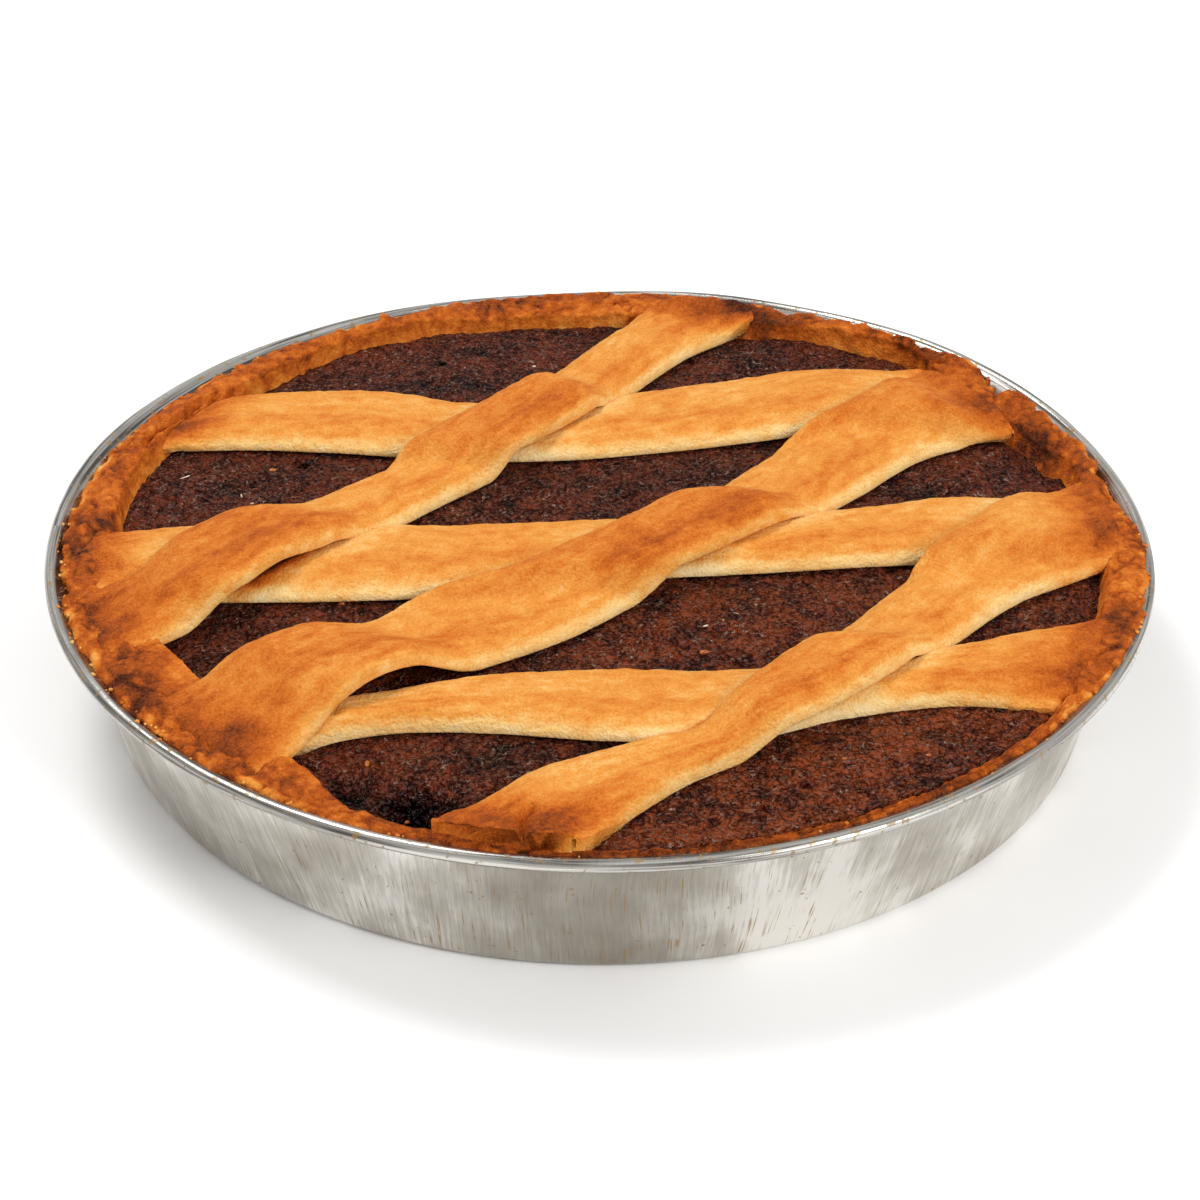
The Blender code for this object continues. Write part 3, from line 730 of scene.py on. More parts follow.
# Cracks of rim and strip ends: points, width, depth
CRACKS = (
    (((-97.5, 65), (-101, 59.5), (-104.5, 53), (-108.5, 47), (-111.5, 41), (-112, 37)), 0.9, -2.6),
    (((-117, -13.5), (-112.5, -18), (-109.5, -23.5), (-106, -28.5), (-102.5, -31.5)), 0.45, -0.9),
    (((-72.5, -99), (-70, -96), (-66.5, -93.5)), 0.5, -1.3),
    (((-13.5, -113), (-15.5, -118), (-15, -126)), 0.9, -3.0), (((104.5, -51), (106, -54.5)), 0.6, -1.2),
    (((101, -68), (104, -66)), 0.6, -1.4), (((116.5, -8), (118, -13)), 0.5, -1.2),
    (((117.8, -4), (116, -8)), 0.4, -0.8), (((91.2, 61.5), (92.5, 59.5)), 0.45, -1.0),
    (((94, 57.5), (95, 56)), 0.4, -0.8), (((100, 67), (104, 71), (107, 72)), 0.9, -2.4),
    (((81, 86), (84, 82), (88, 80)), 0.8, -2.0), (((83, 93), (87, 97)), 0.7, -1.6),
    (((109, 60), (114, 61)), 0.6, -1.2), (((74, 91), (76, 95), (78, 100)), 0.5, -0.9),
    (((-30, 111), (-12, 112.2), (8, 112)), 0.35, -0.5),
    (((-20, 116.5), (0, 117.5), (12, 116)), 0.35, -0.5), (((24, 112), (30, 109)), 1.2, -0.8),
    (((-90, -72), (-88, -76)), 0.5, -0.9), (((112, 30), (118, 28)), 0.5, -0.6),
    (((-49, 101), (-50, 106)), 0.5, -0.8), (((-37.5, 103), (-37, 106)), 0.5, -0.9),
)


def strokes(places, table):
    """Sum of soft lines: each is a list of (x, y) points, a width and an amount."""
    total = np.zeros(len(places))
    for line, width, amount in table:
        nearest = np.full(len(places), 1e9)
        for start, stop in zip(np.array(line, float), np.array(line, float)[1:]):
            along = stop - start
            share = np.clip(((places - start) @ along) / (along @ along), 0, 1)
            nearest = np.minimum(nearest, ((places - start - share[:, None] * along) ** 2).sum(axis=1))
        total += amount * np.exp(-nearest / width ** 2)
    return total


print(len(BAND_SHAPES), "lumps and dents,", len(CRACKS), "cracks")

# %% [markdown]
# The cup could be a turned line, as the tin is, but no two of its sections are alike. So a grid is
# rolled into a closed skin, and each of its rows is put in place by a formula of the angle: from
# the middle of the underside up the wall, over the band and down to the cup's floor.

# %% Crust: a grid rolled into a skin
def rolled_grid(steps, rows, poles):
    """A grid rolled about Z into a closed skin of unit radius, its rows at whole numbers of Z.
    With poles its first and last row shrink to a point; without, its two open ends are filled."""
    bm = bmesh.new()
    bmesh.ops.create_grid(bm, x_segments=steps, y_segments=rows, size=1.0)
    for vert in bm.verts:
        row = round((vert.co.y + 1) / 2 * rows)
        reach = 0.0 if poles and row in (0, rows) else 1.0
        turn = (vert.co.x + 1) * math.pi
        vert.co = (reach * math.cos(turn), reach * math.sin(turn), row)
    bmesh.ops.remove_doubles(bm, verts=bm.verts, dist=0.0001)
    bmesh.ops.holes_fill(bm, edges=[edge for edge in bm.edges if edge.is_boundary], sides=0)
    bmesh.ops.recalc_face_normals(bm, faces=bm.faces)
    return bm


bm = rolled_grid(12, 3, poles=True)
print("a trial skin of", len(bm.faces), "faces has", sum(edge.is_boundary for edge in bm.edges), "open edges")
bm.free()

# %% Crust: rows of the cup
CRUST_ROUNDING = 1.1
OUTER_ROWS, ROUND_ROWS, BAND_ROWS, INNER_ROWS = 5, 6, 34, 12
INSET = SHEET + 0.3
CRUST_FLOOR = INSET + 4.5
SHOULDER = 30.0
FACE_FOOT = 33.0
# Radius and height of the rows under the cup and up its wall, and of those on its floor
UNDER_ROWS = [(0.0, INSET), (111.0, INSET), (114.2, 1.9), (115.6, 4.2), (wall_radius(20, INSET), 20.0),
              (wall_radius(SHOULDER, INSET), SHOULDER)]
FLOOR_ROWS = [(107.0, 12.0), (102.0, CRUST_FLOOR), (0.0, CRUST_FLOOR)]


def band_height(angle, share):
    """Height of the crust's band, from its outer edge (share 0) to its inner edge (share 1)."""
    outer, inner = around(RIM, OUTER_TOP, angle), around(RIM, INNER_TOP, angle)
    return outer + (inner - outer) * ease(share) + 2 * share * (1 - share)


def crust_rows(angle):
    """Radius and height of every row of the crust at every angle."""
    edge = ragged_edge(angle)
    foot = around(RIM, MEETING, angle)
    brink = foot + around(RIM, LEANING, angle)
    outer_top, inner_top = band_height(angle, 0), band_height(angle, 1)
    turns = np.linspace(0, math.pi / 2, ROUND_ROWS)
    rows = list(UNDER_ROWS)
    wall = UNDER_ROWS[-1][0]
    for share in np.arange(1, OUTER_ROWS + 1) / (OUTER_ROWS + 1):
        height = SHOULDER + (outer_top - CRUST_ROUNDING - SHOULDER) * share
        rows.append((wall + (edge - wall) * ease(share), height))
    for turn in turns:
        rows.append((edge - CRUST_ROUNDING * (1 - math.cos(turn)),
                     outer_top - CRUST_ROUNDING * (1 - math.sin(turn))))
    start, stop = edge - CRUST_ROUNDING, brink + CRUST_ROUNDING
    for share in np.arange(1, BAND_ROWS + 1) / (BAND_ROWS + 1):
        rows.append((start + (stop - start) * share, band_height(angle, share)))
    for turn in turns:
        rows.append((brink + CRUST_ROUNDING * (1 - math.sin(turn)),
                     inner_top - CRUST_ROUNDING * (1 - math.cos(turn))))
    for share in np.arange(1, INNER_ROWS + 1) / INNER_ROWS:
        height = inner_top - CRUST_ROUNDING
        rows.append((brink + (foot - brink) * share, height + (FACE_FOOT - height) * share))
    return np.array([[np.broadcast_to(part, angle.shape) for part in row] for row in rows + FLOOR_ROWS])


row_count = len(crust_rows(np.zeros(1)))
print(row_count, "rows in the crust")

# %% Crust: keep dough inside the tin
# Height and the largest radius that dough may have there: the wall, the lip and the bead
INSIDE_TIN = ((0, WALL_FOOT - SHEET / 2), (LIP_TURN, wall_radius(LIP_TURN, SHEET / 2)), (34.4, 124.4),
              (35.9, 126.8), (36.8, 128.3), (37.2, 135.0))


def kept_in_tin(points):
    """Pull in what would push through the wall, the lip or the bead below the bead's middle."""
    allowed = np.interp(points[:, 2], *zip(*INSIDE_TIN))
    radius = np.hypot(points[:, 0], points[:, 1])
    points[:, :2] *= np.minimum(1, allowed / np.maximum(radius, 1))[:, None]
    return points


print("dough stays inside", round(INSIDE_TIN[1][1], 1), "mm where the lip starts")

# %% [markdown]
# The rows are put in place, the band takes its lumps, dents, folds and cracks, and crumbs are
# raised over all that shows, most near the outer edge and at the right, where the rim broke. The
# crust sits in the tin, so it takes the tin's bend with it.

# %% Crust: put its points in place
CRUST_STEPS = 1200
RIM_SHARE = 0.8
crust_mesh = mesh_of(rolled_grid(CRUST_STEPS, row_count - 1, poles=True), "crust_cup")
points = points_of(crust_mesh)
angle = np.arctan2(points[:, 1], points[:, 0])
crust_row = np.round(points[:, 2]).astype(int)
radius, height = crust_rows(angle)[crust_row, :, np.arange(len(points))].T
points = np.column_stack([radius * np.cos(angle), radius * np.sin(angle), height])
band_start = len(UNDER_ROWS) + OUTER_ROWS + ROUND_ROWS
band_share = np.clip((crust_row - band_start) / BAND_ROWS, 0, 1)
inner_face = np.clip((crust_row - band_start - BAND_ROWS - 1) / (ROUND_ROWS + INNER_ROWS), 0, 1)
rough_part = (crust_row > len(UNDER_ROWS)) & (crust_row < row_count - len(FLOOR_ROWS))
print("crust of", len(points), "points, its band", (points[:, 2].max() - FACE_FOOT).round(1), "mm deep")

# %% Crust: lumps, folds, cracks and crumbs
def raise_points(mesh, amount):
    """Move every point along its own normal."""
    normals = np.empty(len(mesh.vertices) * 3)
    mesh.vertex_normals.foreach_get("vector", normals)
    set_points(mesh, points_of(mesh) + normals.reshape(-1, 3) * amount[:, None])


flat = points[:, :2]
# The rim is most broken at the back right, and folds run over it where dough was pushed together
broken_side = ease(1.4 - np.abs(np.degrees(angle) - 47) / 30)
folds = np.exp(-(swell(flat, 5.5, 36) / 0.09) ** 2) * ease(0.5 + 1.5 * swell(flat, 11.0, 37))
relief = swells(flat, (0.5, 9.0, 31), (0.35 + 0.35 * broken_side, 3.6, 32)) - 0.6 * folds
relief += spots(flat, BAND_SHAPES) + strokes(flat, CRACKS)
points[:, 2] += rough_part * (1 - inner_face) * relief
set_points(crust_mesh, points)
crust_crumb = grains(points, 2.0, 33)[0]
towards_edge = ease((0.35 - band_share) / 0.35)
amount = swells(points, (0.35 + 0.25 * broken_side, 3.6, 34), (0.22, 1.2, 35))
amount += (0.3 + 0.15 * towards_edge) * (0.6 - crust_crumb)
raise_points(crust_mesh, rough_part * amount * (1 - 0.6 * inner_face))
points = kept_in_tin(points_of(crust_mesh))
set_points(crust_mesh, bend_rim(points, RIM_SHARE * upper_wall(points)))
print("crust band up to", points[:, 2].max().round(1), "mm high, edge out to",
      np.hypot(points[:, 0], points[:, 1]).max().round(1))

# %% [markdown]
# ## The strips
#
# Six strips are cut by hand from rolled dough, three laid one way and three over them. None has a
# straight side, so each strip is given as points of its middle line with its half width there, and
# a smooth curve is drawn through them. A bevelled curve object would keep one section all along;
# a grid rolled into a tube lets each point be placed by how far across the strip it is and how
# far along. The ends are cut where the strip meets a circle near the tin's rim.

# %% Strips: middle lines
# line: x, y and half the width. ends: radius of the circle at which it starts and stops. sink: how
# far an end takes the height of the crust's band. proud: how high an end stands on the band.
# rounded: how far an end's corners stay back. crosses: each lower strip it climbs, with the length
# of the climb, the crease where it drops (far side, near side, width) and, if it doesn't start at
# the lower strip's edge, the line where the climb starts.
LOWER_STRIPS = {
    "lower_strip_back": {
        "line": ((-118, 49, 10), (-104, 51, 12), (-83, 53, 14), (-58, 52, 15.5), (-35, 47, 14),
                 (-10, 48, 14.5), (14, 53, 15), (38, 60, 15.5), (60, 67, 15), (82, 66, 13),
                 (98, 62, 11), (110, 59, 10)),
        "ends": (116, 116.5), "sink": (0.3, 0.9)},
    "lower_strip_middle": {
        "line": ((-126, -17, 12), (-112, -16, 14), (-89, -15, 16.5), (-64, -15, 16.5),
                 (-39, -15, 15), (-14, -12, 13.5), (11, -9, 12.5), (36, -7, 11.5),
                 (60, -3, 12), (85, 2, 14), (103, 4, 12), (120, 5, 11)),
        "ends": (121.5, 118.5), "sink": (1.0, 1.0)},
    "lower_strip_front": {
        "line": ((-84, -90, 8), (-72, -85, 7), (-48, -77, 6.5), (-23, -73, 10), (2, -73, 12.5),
                 (27, -73, 12.5), (51, -67, 9.5), (75, -61, 10), (98, -57, 14.5),
                 (112, -53, 15), (126, -48, 14)),
        "ends": (115, 124), "sink": (1.0, 0.95)},
}
UPPER_STRIPS = {
    "upper_strip_left": {
        "line": ((-121, -50, 13), (-109, -41, 13), (-98, -31, 13.5), (-81, -14, 14), (-64, 1, 12),
                 (-46, 18, 10.5), (-29, 36, 11), (-13, 55, 11.5), (0, 76, 11), (13, 96, 11.5),
                 (25.5, 109.5, 12.3), (38, 124, 13)),
        "ends": (125.0, 119.8), "sink": (0.95, 0.9), "proud": (0, 1.5), "rounded": (0, 4.0),
        "crosses": {"lower_strip_middle": (12, ((-77, 3), (-57, -7), 18)),
                    "lower_strip_back": (8, ((-15, 70), (-2, 60), 14))}},
    "upper_strip_middle": {
        "line": ((-98, -105, 17), (-88, -93, 18), (-76, -79, 17.5), (-60, -64, 15), (-38, -50, 14),
                 (-16, -38, 12.5), (2, -23, 11.5), (20, -7, 12), (37, 9, 12.5), (53, 27, 13.5),
                 (70, 45, 13), (86, 59, 16.5), (97, 68, 19), (109, 79, 20)),
        "ends": (125.0, 115.2), "sink": (0.95, 0.4), "proud": (0, 0.7),
        "crosses": {"lower_strip_front": (14, ((-60, -47), (-39, -60), 16)),
                    "lower_strip_middle": (9, ((26, 11), (50, 6), 14)),
                    "lower_strip_back": (8, ((85, 92), (108, 66), 14))}},
    "upper_strip_right": {
        "line": ((-30, -134, 12.6), (-18.5, -122, 13.8), (-4.6, -106.7, 12.6), (12.4, -94.9, 8.7),
                 (27, -87, 6.6), (39.5, -76, 9.2), (55, -60, 10.5), (71, -40, 11), (87, -21, 12),
                 (103, -6, 15), (117, 5, 16), (130, 14, 16)),
        "ends": (124.6, 125.0), "sink": (0.95, 0.95), "proud": (3.6, 0),
        "crosses": {"lower_strip_front": (7, ((51, -51), (71, -54), 14), ((20, -78), (41, -93), 15)),
                    "lower_strip_middle": (8, ((103, 26), (128, 2), 14))}},
}
ALL_STRIPS = {**LOWER_STRIPS, **UPPER_STRIPS}
print(len(LOWER_STRIPS), "lower strips and", len(UPPER_STRIPS), "upper strips")

# %% Strips: a smooth line and its sides
def smooth_line(points, steps=24):
    """A curve through every point (x, y, half width), as dense rows."""
    points = np.asarray(points, float)
    ends = np.vstack([2 * points[0] - points[1], points, 2 * points[-1] - points[-2]])
    rows = []
    for before, start, stop, after in zip(ends, ends[1:], ends[2:], ends[3:]):
        for share in np.arange(steps) / steps:
            rows.append(0.5 * (2 * start + (stop - before) * share
                               + (2 * before - 5 * start + 4 * stop - after) * share ** 2
                               + (3 * start - before - 3 * stop + after) * share ** 3))
    rows.append(points[-1])
    return np.array(rows)


def left_of(line):
    """Unit vectors square to the line, to its left."""
    along = np.gradient(line[:, :2], axis=0)
    along /= np.linalg.norm(along, axis=1)[:, None]
    return np.column_stack([-along[:, 1], along[:, 0]])


def long_line(line, side, ends, rounded=(0, 0)):
    """The strip's long line at `side` half widths from its middle, between its two end circles,
    which its corners stay inside by `rounded`."""
    edge = line[:, :2] + left_of(line) * line[:, 2:3] * side
    radius = np.hypot(edge[:, 0], edge[:, 1])
    middle = len(edge) // 2
    cuts = []
    for rows, end in ((range(middle, 0, -1), 0), (range(middle, len(edge) - 1), 1)):
        limit = ends[end] - rounded[end] * side ** 4
        for row in rows:
            if radius[row + rows.step] >= limit:
                break
        cuts.append(row + rows.step * (limit - radius[row]) / (radius[row + rows.step] - radius[row]))
    rows = np.linspace(cuts[0], cuts[1], 400)
    return np.column_stack([np.interp(rows, np.arange(len(edge)), edge[:, axis]) for axis in (0, 1)])


print("middle lines of", *(len(smooth_line(strip["line"])) for strip in ALL_STRIPS.values()), "rows")

# %% [markdown]
# A strip that crosses another climbs before the lower one's edge, lies over it, and drops at a
# crease, which can slant across the strip. Soft dough keeps the shape in which it was laid, so a
# few near sides arch off what lies under them, and a few sag.

# %% Strips: how far a place is beside a line
def beside(line, places):
    """How far places lie to the left of a line of dense rows, and its half width there."""
    coarse = line[::3]
    across = left_of(coarse)
    nearest = np.full(len(places), 1e9)
    row = np.zeros(len(places), int)
    for index, middle in enumerate(coarse[:, :2]):
        distance = ((places - middle) ** 2).sum(axis=1)
        closer = distance < nearest
        nearest[closer], row[closer] = distance[closer], index
    return ((places - coarse[row, :2]) * across[row]).sum(axis=1), coarse[row, 2]


for name, strip in ALL_STRIPS.items():
    left = beside(smooth_line(strip["line"]), np.zeros((1, 2)))[0]
    print("the tart's middle lies", left.round(1), "mm to the left of", name)

# %% Strips: where one climbs another
CREST_MARGIN = 2.4


def short_of(places, far, near, width):
    """1 before a line across a strip, from its far side to its near side, and 0 past it."""
    far, near = np.array(far), np.array(near)
    onwards = np.array((far[1] - near[1], near[0] - far[0])) / np.linalg.norm(near - far)
    return ease(0.5 - ((places - far) @ onwards) / width)


def crest(lower, places, climb, crease, foot=None):
    """How far a strip is lifted over a lower one, from 0 to 1: it climbs before the lower strip's
    near edge, or at a line of its own, and drops at a crease. It is lifted less near the rim,
    where it was pressed into the crust."""
    past, half = beside(smooth_line(LOWER_STRIPS[lower]["line"]), places)
    lift = 1 - short_of(places, *foot) if foot else ease((half + CREST_MARGIN + climb + past) / climb)
    lift *= short_of(places, *crease)
    return lift * (1 - 0.8 * ease((np.hypot(places[:, 0], places[:, 1]) - 96) / 16))


print(sum(len(strip["crosses"]) for strip in UPPER_STRIPS.values()), "crossings")

# %% [markdown]
# A strip's section is a flat rounded loaf, and most points of its ring go over the top, which
# shows. The last rows at each end turn inwards, so that the end is rounded and closed. Seen from
# above, each point of the ring follows its own long line beside the strip's middle line.

# %% Strips: the section and its ends
STRIP_STEPS = 470
TOP_POINTS, UNDER_POINTS = 68, 24
RING = TOP_POINTS + UNDER_POINTS
SQUARENESS = 2.15
END_ROUNDING = 1.5
END_ROWS = 9
CUT_ROWS = 4
# Around the ring: over the top from the near side to the far side, and back underneath
ring_turns = np.concatenate([np.linspace(math.pi, 0, TOP_POINTS, endpoint=False),
                             np.linspace(0, -math.pi, UNDER_POINTS, endpoint=False)])
sides, levels = (np.sign(wave) * np.abs(wave) ** (2 / SQUARENESS)
                 for wave in (np.cos(ring_turns), np.sin(ring_turns)))
# Distance from the strip's end and inset of the section: first across the cut, then round its edge
turns = np.linspace(0, math.pi / 2, END_ROWS - CUT_ROWS)
end_away = np.concatenate([np.zeros(CUT_ROWS), END_ROUNDING * (1 - np.cos(turns))])
end_inset = np.concatenate([np.linspace(2.3, END_ROUNDING, CUT_ROWS + 1)[:-1],
                            END_ROUNDING * (1 - np.sin(turns))])
insets = np.concatenate([end_inset, np.zeros(STRIP_STEPS + 1 - 2 * END_ROWS), end_inset[::-1]])
print("a ring of", RING, "points,", len(insets), "rings in a strip")


# %% Strips: seen from above
def strip_plan(strip):
    """Where the points of a strip lie and how far each is from its start, by ring point and row."""
    line = smooth_line(strip["line"])
    places = np.zeros((RING, len(insets), 2))
    starts = np.zeros((RING, len(insets)))
    for index, side in enumerate(sides):
        edge = long_line(line, side, strip["ends"], strip.get("rounded", (0, 0)))
        travelled = np.concatenate([[0], np.cumsum(np.linalg.norm(np.diff(edge, axis=0), axis=1))])
        length = travelled[-1]
        body = np.linspace(end_away[-1], length - end_away[-1], len(insets) + 2 - 2 * END_ROWS)[1:-1]
        starts[index] = np.concatenate([end_away, body, length - end_away[::-1]])
        for axis in (0, 1):
            places[index, :, axis] = np.interp(starts[index], travelled, edge[:, axis])
    near, far = places[:1], places[TOP_POINTS:TOP_POINTS + 1]
    half = np.linalg.norm(near - far, axis=2) / 2
    middle = (near + far) / 2
    return middle + (places - middle) * (1 - insets / half)[:, :, None], starts


strips = {}
for name, strip in ALL_STRIPS.items():
    mesh = mesh_of(rolled_grid(RING, STRIP_STEPS, poles=False), name + "_dough")
    points = points_of(mesh)
    row = np.round(points[:, 2]).astype(int)
    turn = np.arctan2(points[:, 1], points[:, 0]) / (2 * math.pi)
    ring = np.round(turn * RING).astype(int) % RING
    places, starts = strip_plan(strip)
    start = starts[ring, row]
    strips[name] = SimpleNamespace(mesh=mesh, place=places[ring, row], side=sides[ring], level=levels[ring],
                                   inset=insets[row], start=start, stop=starts[ring, -1] - start)
    print(name, "is", starts[:, -1].mean().round(), "mm long")

# %% [markdown]
# Each strip rests on the filling, and an upper one is lifted by the thickness of the strip it
# crosses. A lower strip is pushed down where an upper one lies across it without being lifted, and
# stays paler beside it, because it was in the upper one's shade in the oven.

# %% Strips: what each rests on
THICKNESS = 5.0
DIP = 3.6
CLEARANCE = 0.3
# Where a strip's near part arches off what lies under it, or sags: x, y, reach along, reach
# across, turn, height
LIFTED = {
    "upper_strip_left": ((-74, -24, 9, 7, 50, 2.4),),
    "upper_strip_middle": ((-48, -70, 14, 7, 33, 3.0), (8, 4, 10, 6, 40, 0.8), (46.5, 4.5, 8, 6, 40, -1.6),
                           (101, 45, 7, 7, 0, -2.6)),
    "upper_strip_right": ((38, -60, 8, 6, 40, 0.8),),
}
for name, strip in strips.items():
    strip.lift = np.zeros(len(strip.place))
    strip.pale = np.zeros(len(strip.place))
    strip.base = filling_level(strip.place) + CLEARANCE
    strip.base += spots(strip.place, LIFTED.get(name, ())) * ease(0.6 - 0.6 * strip.side)
    for crossed, climb_and_crease in ALL_STRIPS[name].get("crosses", {}).items():
        strip.lift += crest(crossed, strip.place, *climb_and_crease)
    for upper in UPPER_STRIPS.values():
        if name in upper["crosses"]:
            past, half = beside(smooth_line(upper["line"]), strip.place)
            lying_on = 1 - crest(name, strip.place, *upper["crosses"][name])
            strip.base -= DIP * ease((1.05 - np.abs(past) / half) / 0.3) * lying_on
            strip.pale += ease((1.75 - np.abs(past) / half) / 0.75)
    strip.base += (THICKNESS + CLEARANCE) * strip.lift
    print(name, "is lifted by", round((THICKNESS + CLEARANCE) * strip.lift.max(), 1), "mm at most")

# %% [markdown]
# Rolled dough has a soft section: its near side is fuller, and here and there a shallow ridge runs
# along it. Towards an end it thins, takes the height of the crust's band and sinks into it where a
# thumb pressed it down. The cracks of the rim run on into it.

# %% Strips: height of every point
PRESSED = 3.9
PRESSED_LENGTH = 16.0


def band_at(places):
    """Height of the crust's band at a place, however far inside or outside its edges."""
    angle = np.arctan2(places[:, 1], places[:, 0])
    outer = around(RIM, OUTER_EDGE, angle)
    inner = around(RIM, MEETING, angle) + around(RIM, LEANING, angle)
    share = np.clip((outer - np.hypot(places[:, 0], places[:, 1])) / (outer - inner), 0, 1)
    return band_height(angle, share) + spots(places, BAND_SHAPES)


for name, strip in strips.items():
    side, level, above = strip.side, strip.level, np.clip(strip.level, 0, 1)
    from_end = np.minimum(strip.start, strip.stop)
    thick = THICKNESS + (PRESSED - THICKNESS) * (1 - ease(from_end / PRESSED_LENGTH))
    rise = 0.2 + np.where(level > 0, 0.85, 0.3) * level
    height = strip.base + thick * rise - level * np.minimum(strip.inset, 2.2)
    drawn = np.column_stack([strip.start / 34, np.full(len(side), len(name))])
    wander = 0.22 * swell(drawn, 1.0, 48)
    ridge = np.exp(-((side + 0.5 + wander) / 0.07) ** 2) * ease(2 * swell(drawn, 0.7, 49))
    shape = 0.35 * (np.exp(-((side + 0.55) / 0.28) ** 2) - np.exp(-((side - 0.15) / 0.4) ** 2) + ridge)
    height += above * (shape + swells(strip.place, (0.35, 13.0, 41), (0.2, 5.0, 42)))
    ends = zip((strip.start, strip.stop), ALL_STRIPS[name]["sink"], ALL_STRIPS[name].get("proud", (0, 0)))
    for distance, amount, proud in ends:
        pressed = 0.0 if proud else 2.6 * ease(1 - distance / 5)
        resting = 0.6 + proud - pressed - np.abs(side) ** 6 + 0.4 * swell(strip.place, 3.0, 47)
        settled = band_at(strip.place) + resting - (3 + proud) * (level <= 0)
        height += amount * ease(1.15 - distance / 14) * (settled - height)
    strip.points = np.column_stack([strip.place, height + above * strokes(strip.place, CRACKS)])
    set_points(strip.mesh, strip.points)
    print(name, "lies up to", height.max().round(1), "mm high")

# %% Strips: crumbs, torn ends and the highest humps
# Above this height a hump is only half as high as it would be
HIGHEST = 46.8
for name, strip in strips.items():
    crumb = 0.6 - grains(strip.points, 1.9, 43)[0]
    torn = ease(1 - np.minimum(strip.start, strip.stop) / 14)
    streaks = swell(np.column_stack([strip.start * 0.3, strip.side * 14]), 1.0, 57)
    amount = swells(strip.points, (0.22, 8.0, 44), (0.12, 3.0, 45), (0.06, 1.3, 46), (0.35 * torn, 3.2, 58))
    amount += (0.1 * ease((np.abs(strip.side) - 0.6) / 0.3) + 0.35 * torn) * crumb + 0.06 * streaks
    raise_points(strip.mesh, amount * np.where(strip.level > 0, 1.0, 0.4))
    points = points_of(strip.mesh)
    points[:, 2] -= 0.5 * np.maximum(points[:, 2] - HIGHEST, 0)
    near_rim = ease((np.hypot(strip.place[:, 0], strip.place[:, 1]) - 100) / 20)
    set_points(strip.mesh, bend_rim(kept_in_tin(points), RIM_SHARE * near_rim))
    print(name, "is up to", points[:, 2].max().round(1), "mm high with its crumbs")

# %% [markdown]
# ## Browning
#
# The oven browns what stands up and what lies near the hot tin, and leaves the low near sides
# pale. The rules are written once, for every point of crust and strips: a middling tone with
# clouds in it, more on crests and along the ridge of a strip, less on its near side, more towards
# the rim, burnt patches where they are, and painted shade in one recess of the crust.

# %% How brown a point is
# Burnt patches, pale ones where the tone is below 0, and painted shade in a recess of the crust:
# x, y, reach along, reach across, turn, tone
BURNT_AND_SHADED = (
    (-123, -12, 3.5, 3.5, 0, 0.3), (-119, -22, 3, 8, 10, 0.16), (-114, -42, 3, 8, 15, 0.2),
    (-103, -66, 5, 4, 0, 0.28), (-98, -74, 6, 3.5, -45, 0.3), (-88, -83, 4, 3, 0, 0.06),
    (-118, 0, 5, 6, 0, 0.12), (-103, 45, 6, 4, 0, 0.12), (110, 23, 4, 3, 0, 0.14),
    # (107, 41) is painted shade in the recess of the crust's inner wall at the back right
    (107, 41, 9, 5, -55, 0.6), (37, 116, 4, 5, 0, 0.3), (41, 109, 6, 5, 0, 0.3),
    (22, 105, 12, 8, 50, 0.13), (84, 90, 12, 4, -45, 0.12), (100, 73, 2, 4, 45, 0.25),
    (118, -40, 6, 5, -60, 0.06), (-60, -74, 8, 4, 30, -0.25), (96, -10, 13, 9, 40, -0.11),
    (58, -58, 12, 7, 40, 0.07),
)
# Painted shade on a lower strip, under the near side of an upper strip that arches off it:
# the same columns
IN_SHADE = {"lower_strip_middle": ((-75, -21, 13, 3.4, 50, 0.75),)}


def browning(places, upwards):
    """Tone from 0, raw and pale, to 1, burnt, before a piece's own rules."""
    tone = 0.4 + swells(places, (0.09, 22.0, 51), (0.03, 5.0, 52), (0.03, 1.5, 53))
    tone += 0.22 * ease((np.hypot(places[:, 0], places[:, 1]) - 100) / 18)
    return tone + 0.8 * spots(places[:, :2], BURNT_AND_SHADED) * ease(upwards) * (1 + 0.5 * swell(places, 3.0, 54))


print(len(BURNT_AND_SHADED), "patches burnt or pale")

# %% Brown the strips
for name, strip in strips.items():
    side, place = strip.side, strip.place
    streaks = swell(np.column_stack([strip.start * 0.16, side * 6]), 1.0, 55)
    streaks += 0.6 * swell(np.column_stack([strip.start * 0.35, side * 15]), 1.0, 59)
    # The crests of the right strip stayed paler than the others
    on_crest = 0.08 if name == "upper_strip_right" else 0.16
    tone = browning(points_of(strip.mesh), strip.level + 0.5) + 0.03 + on_crest * strip.lift
    tone += 0.1 * np.exp(-((side + 0.35) / 0.25) ** 2) + 0.08 * streaks
    tone -= 0.24 * ease((-side - 0.74) / 0.25) + 0.06 * ease((side - 0.75) / 0.2) + 0.2 * (strip.level < 0)
    tone += 0.1 * ease(1.1 - np.minimum(strip.start, strip.stop) / 16) * (1 + 0.3 * swell(place, 5.0, 56))
    # The first spots are painted shade under an arching upper strip
    tone += spots(place, IN_SHADE.get(name, ())) - 0.12 * strip.pale
    write_attribute(strip.mesh, "bake", np.clip(tone, 0, 1))
    print(name, "has a middling tone of", tone.mean().round(2))

# %% Brown the crust
points = points_of(crust_mesh)
tone = browning(points, 1 - 0.5 * inner_face) + 0.14 - 0.16 * inner_face + 0.12 * folds
tone += swells(points, (0.09, 7.0, 60), (0.09, 2.2, 61)) + 0.16 * (crust_crumb - 0.55)
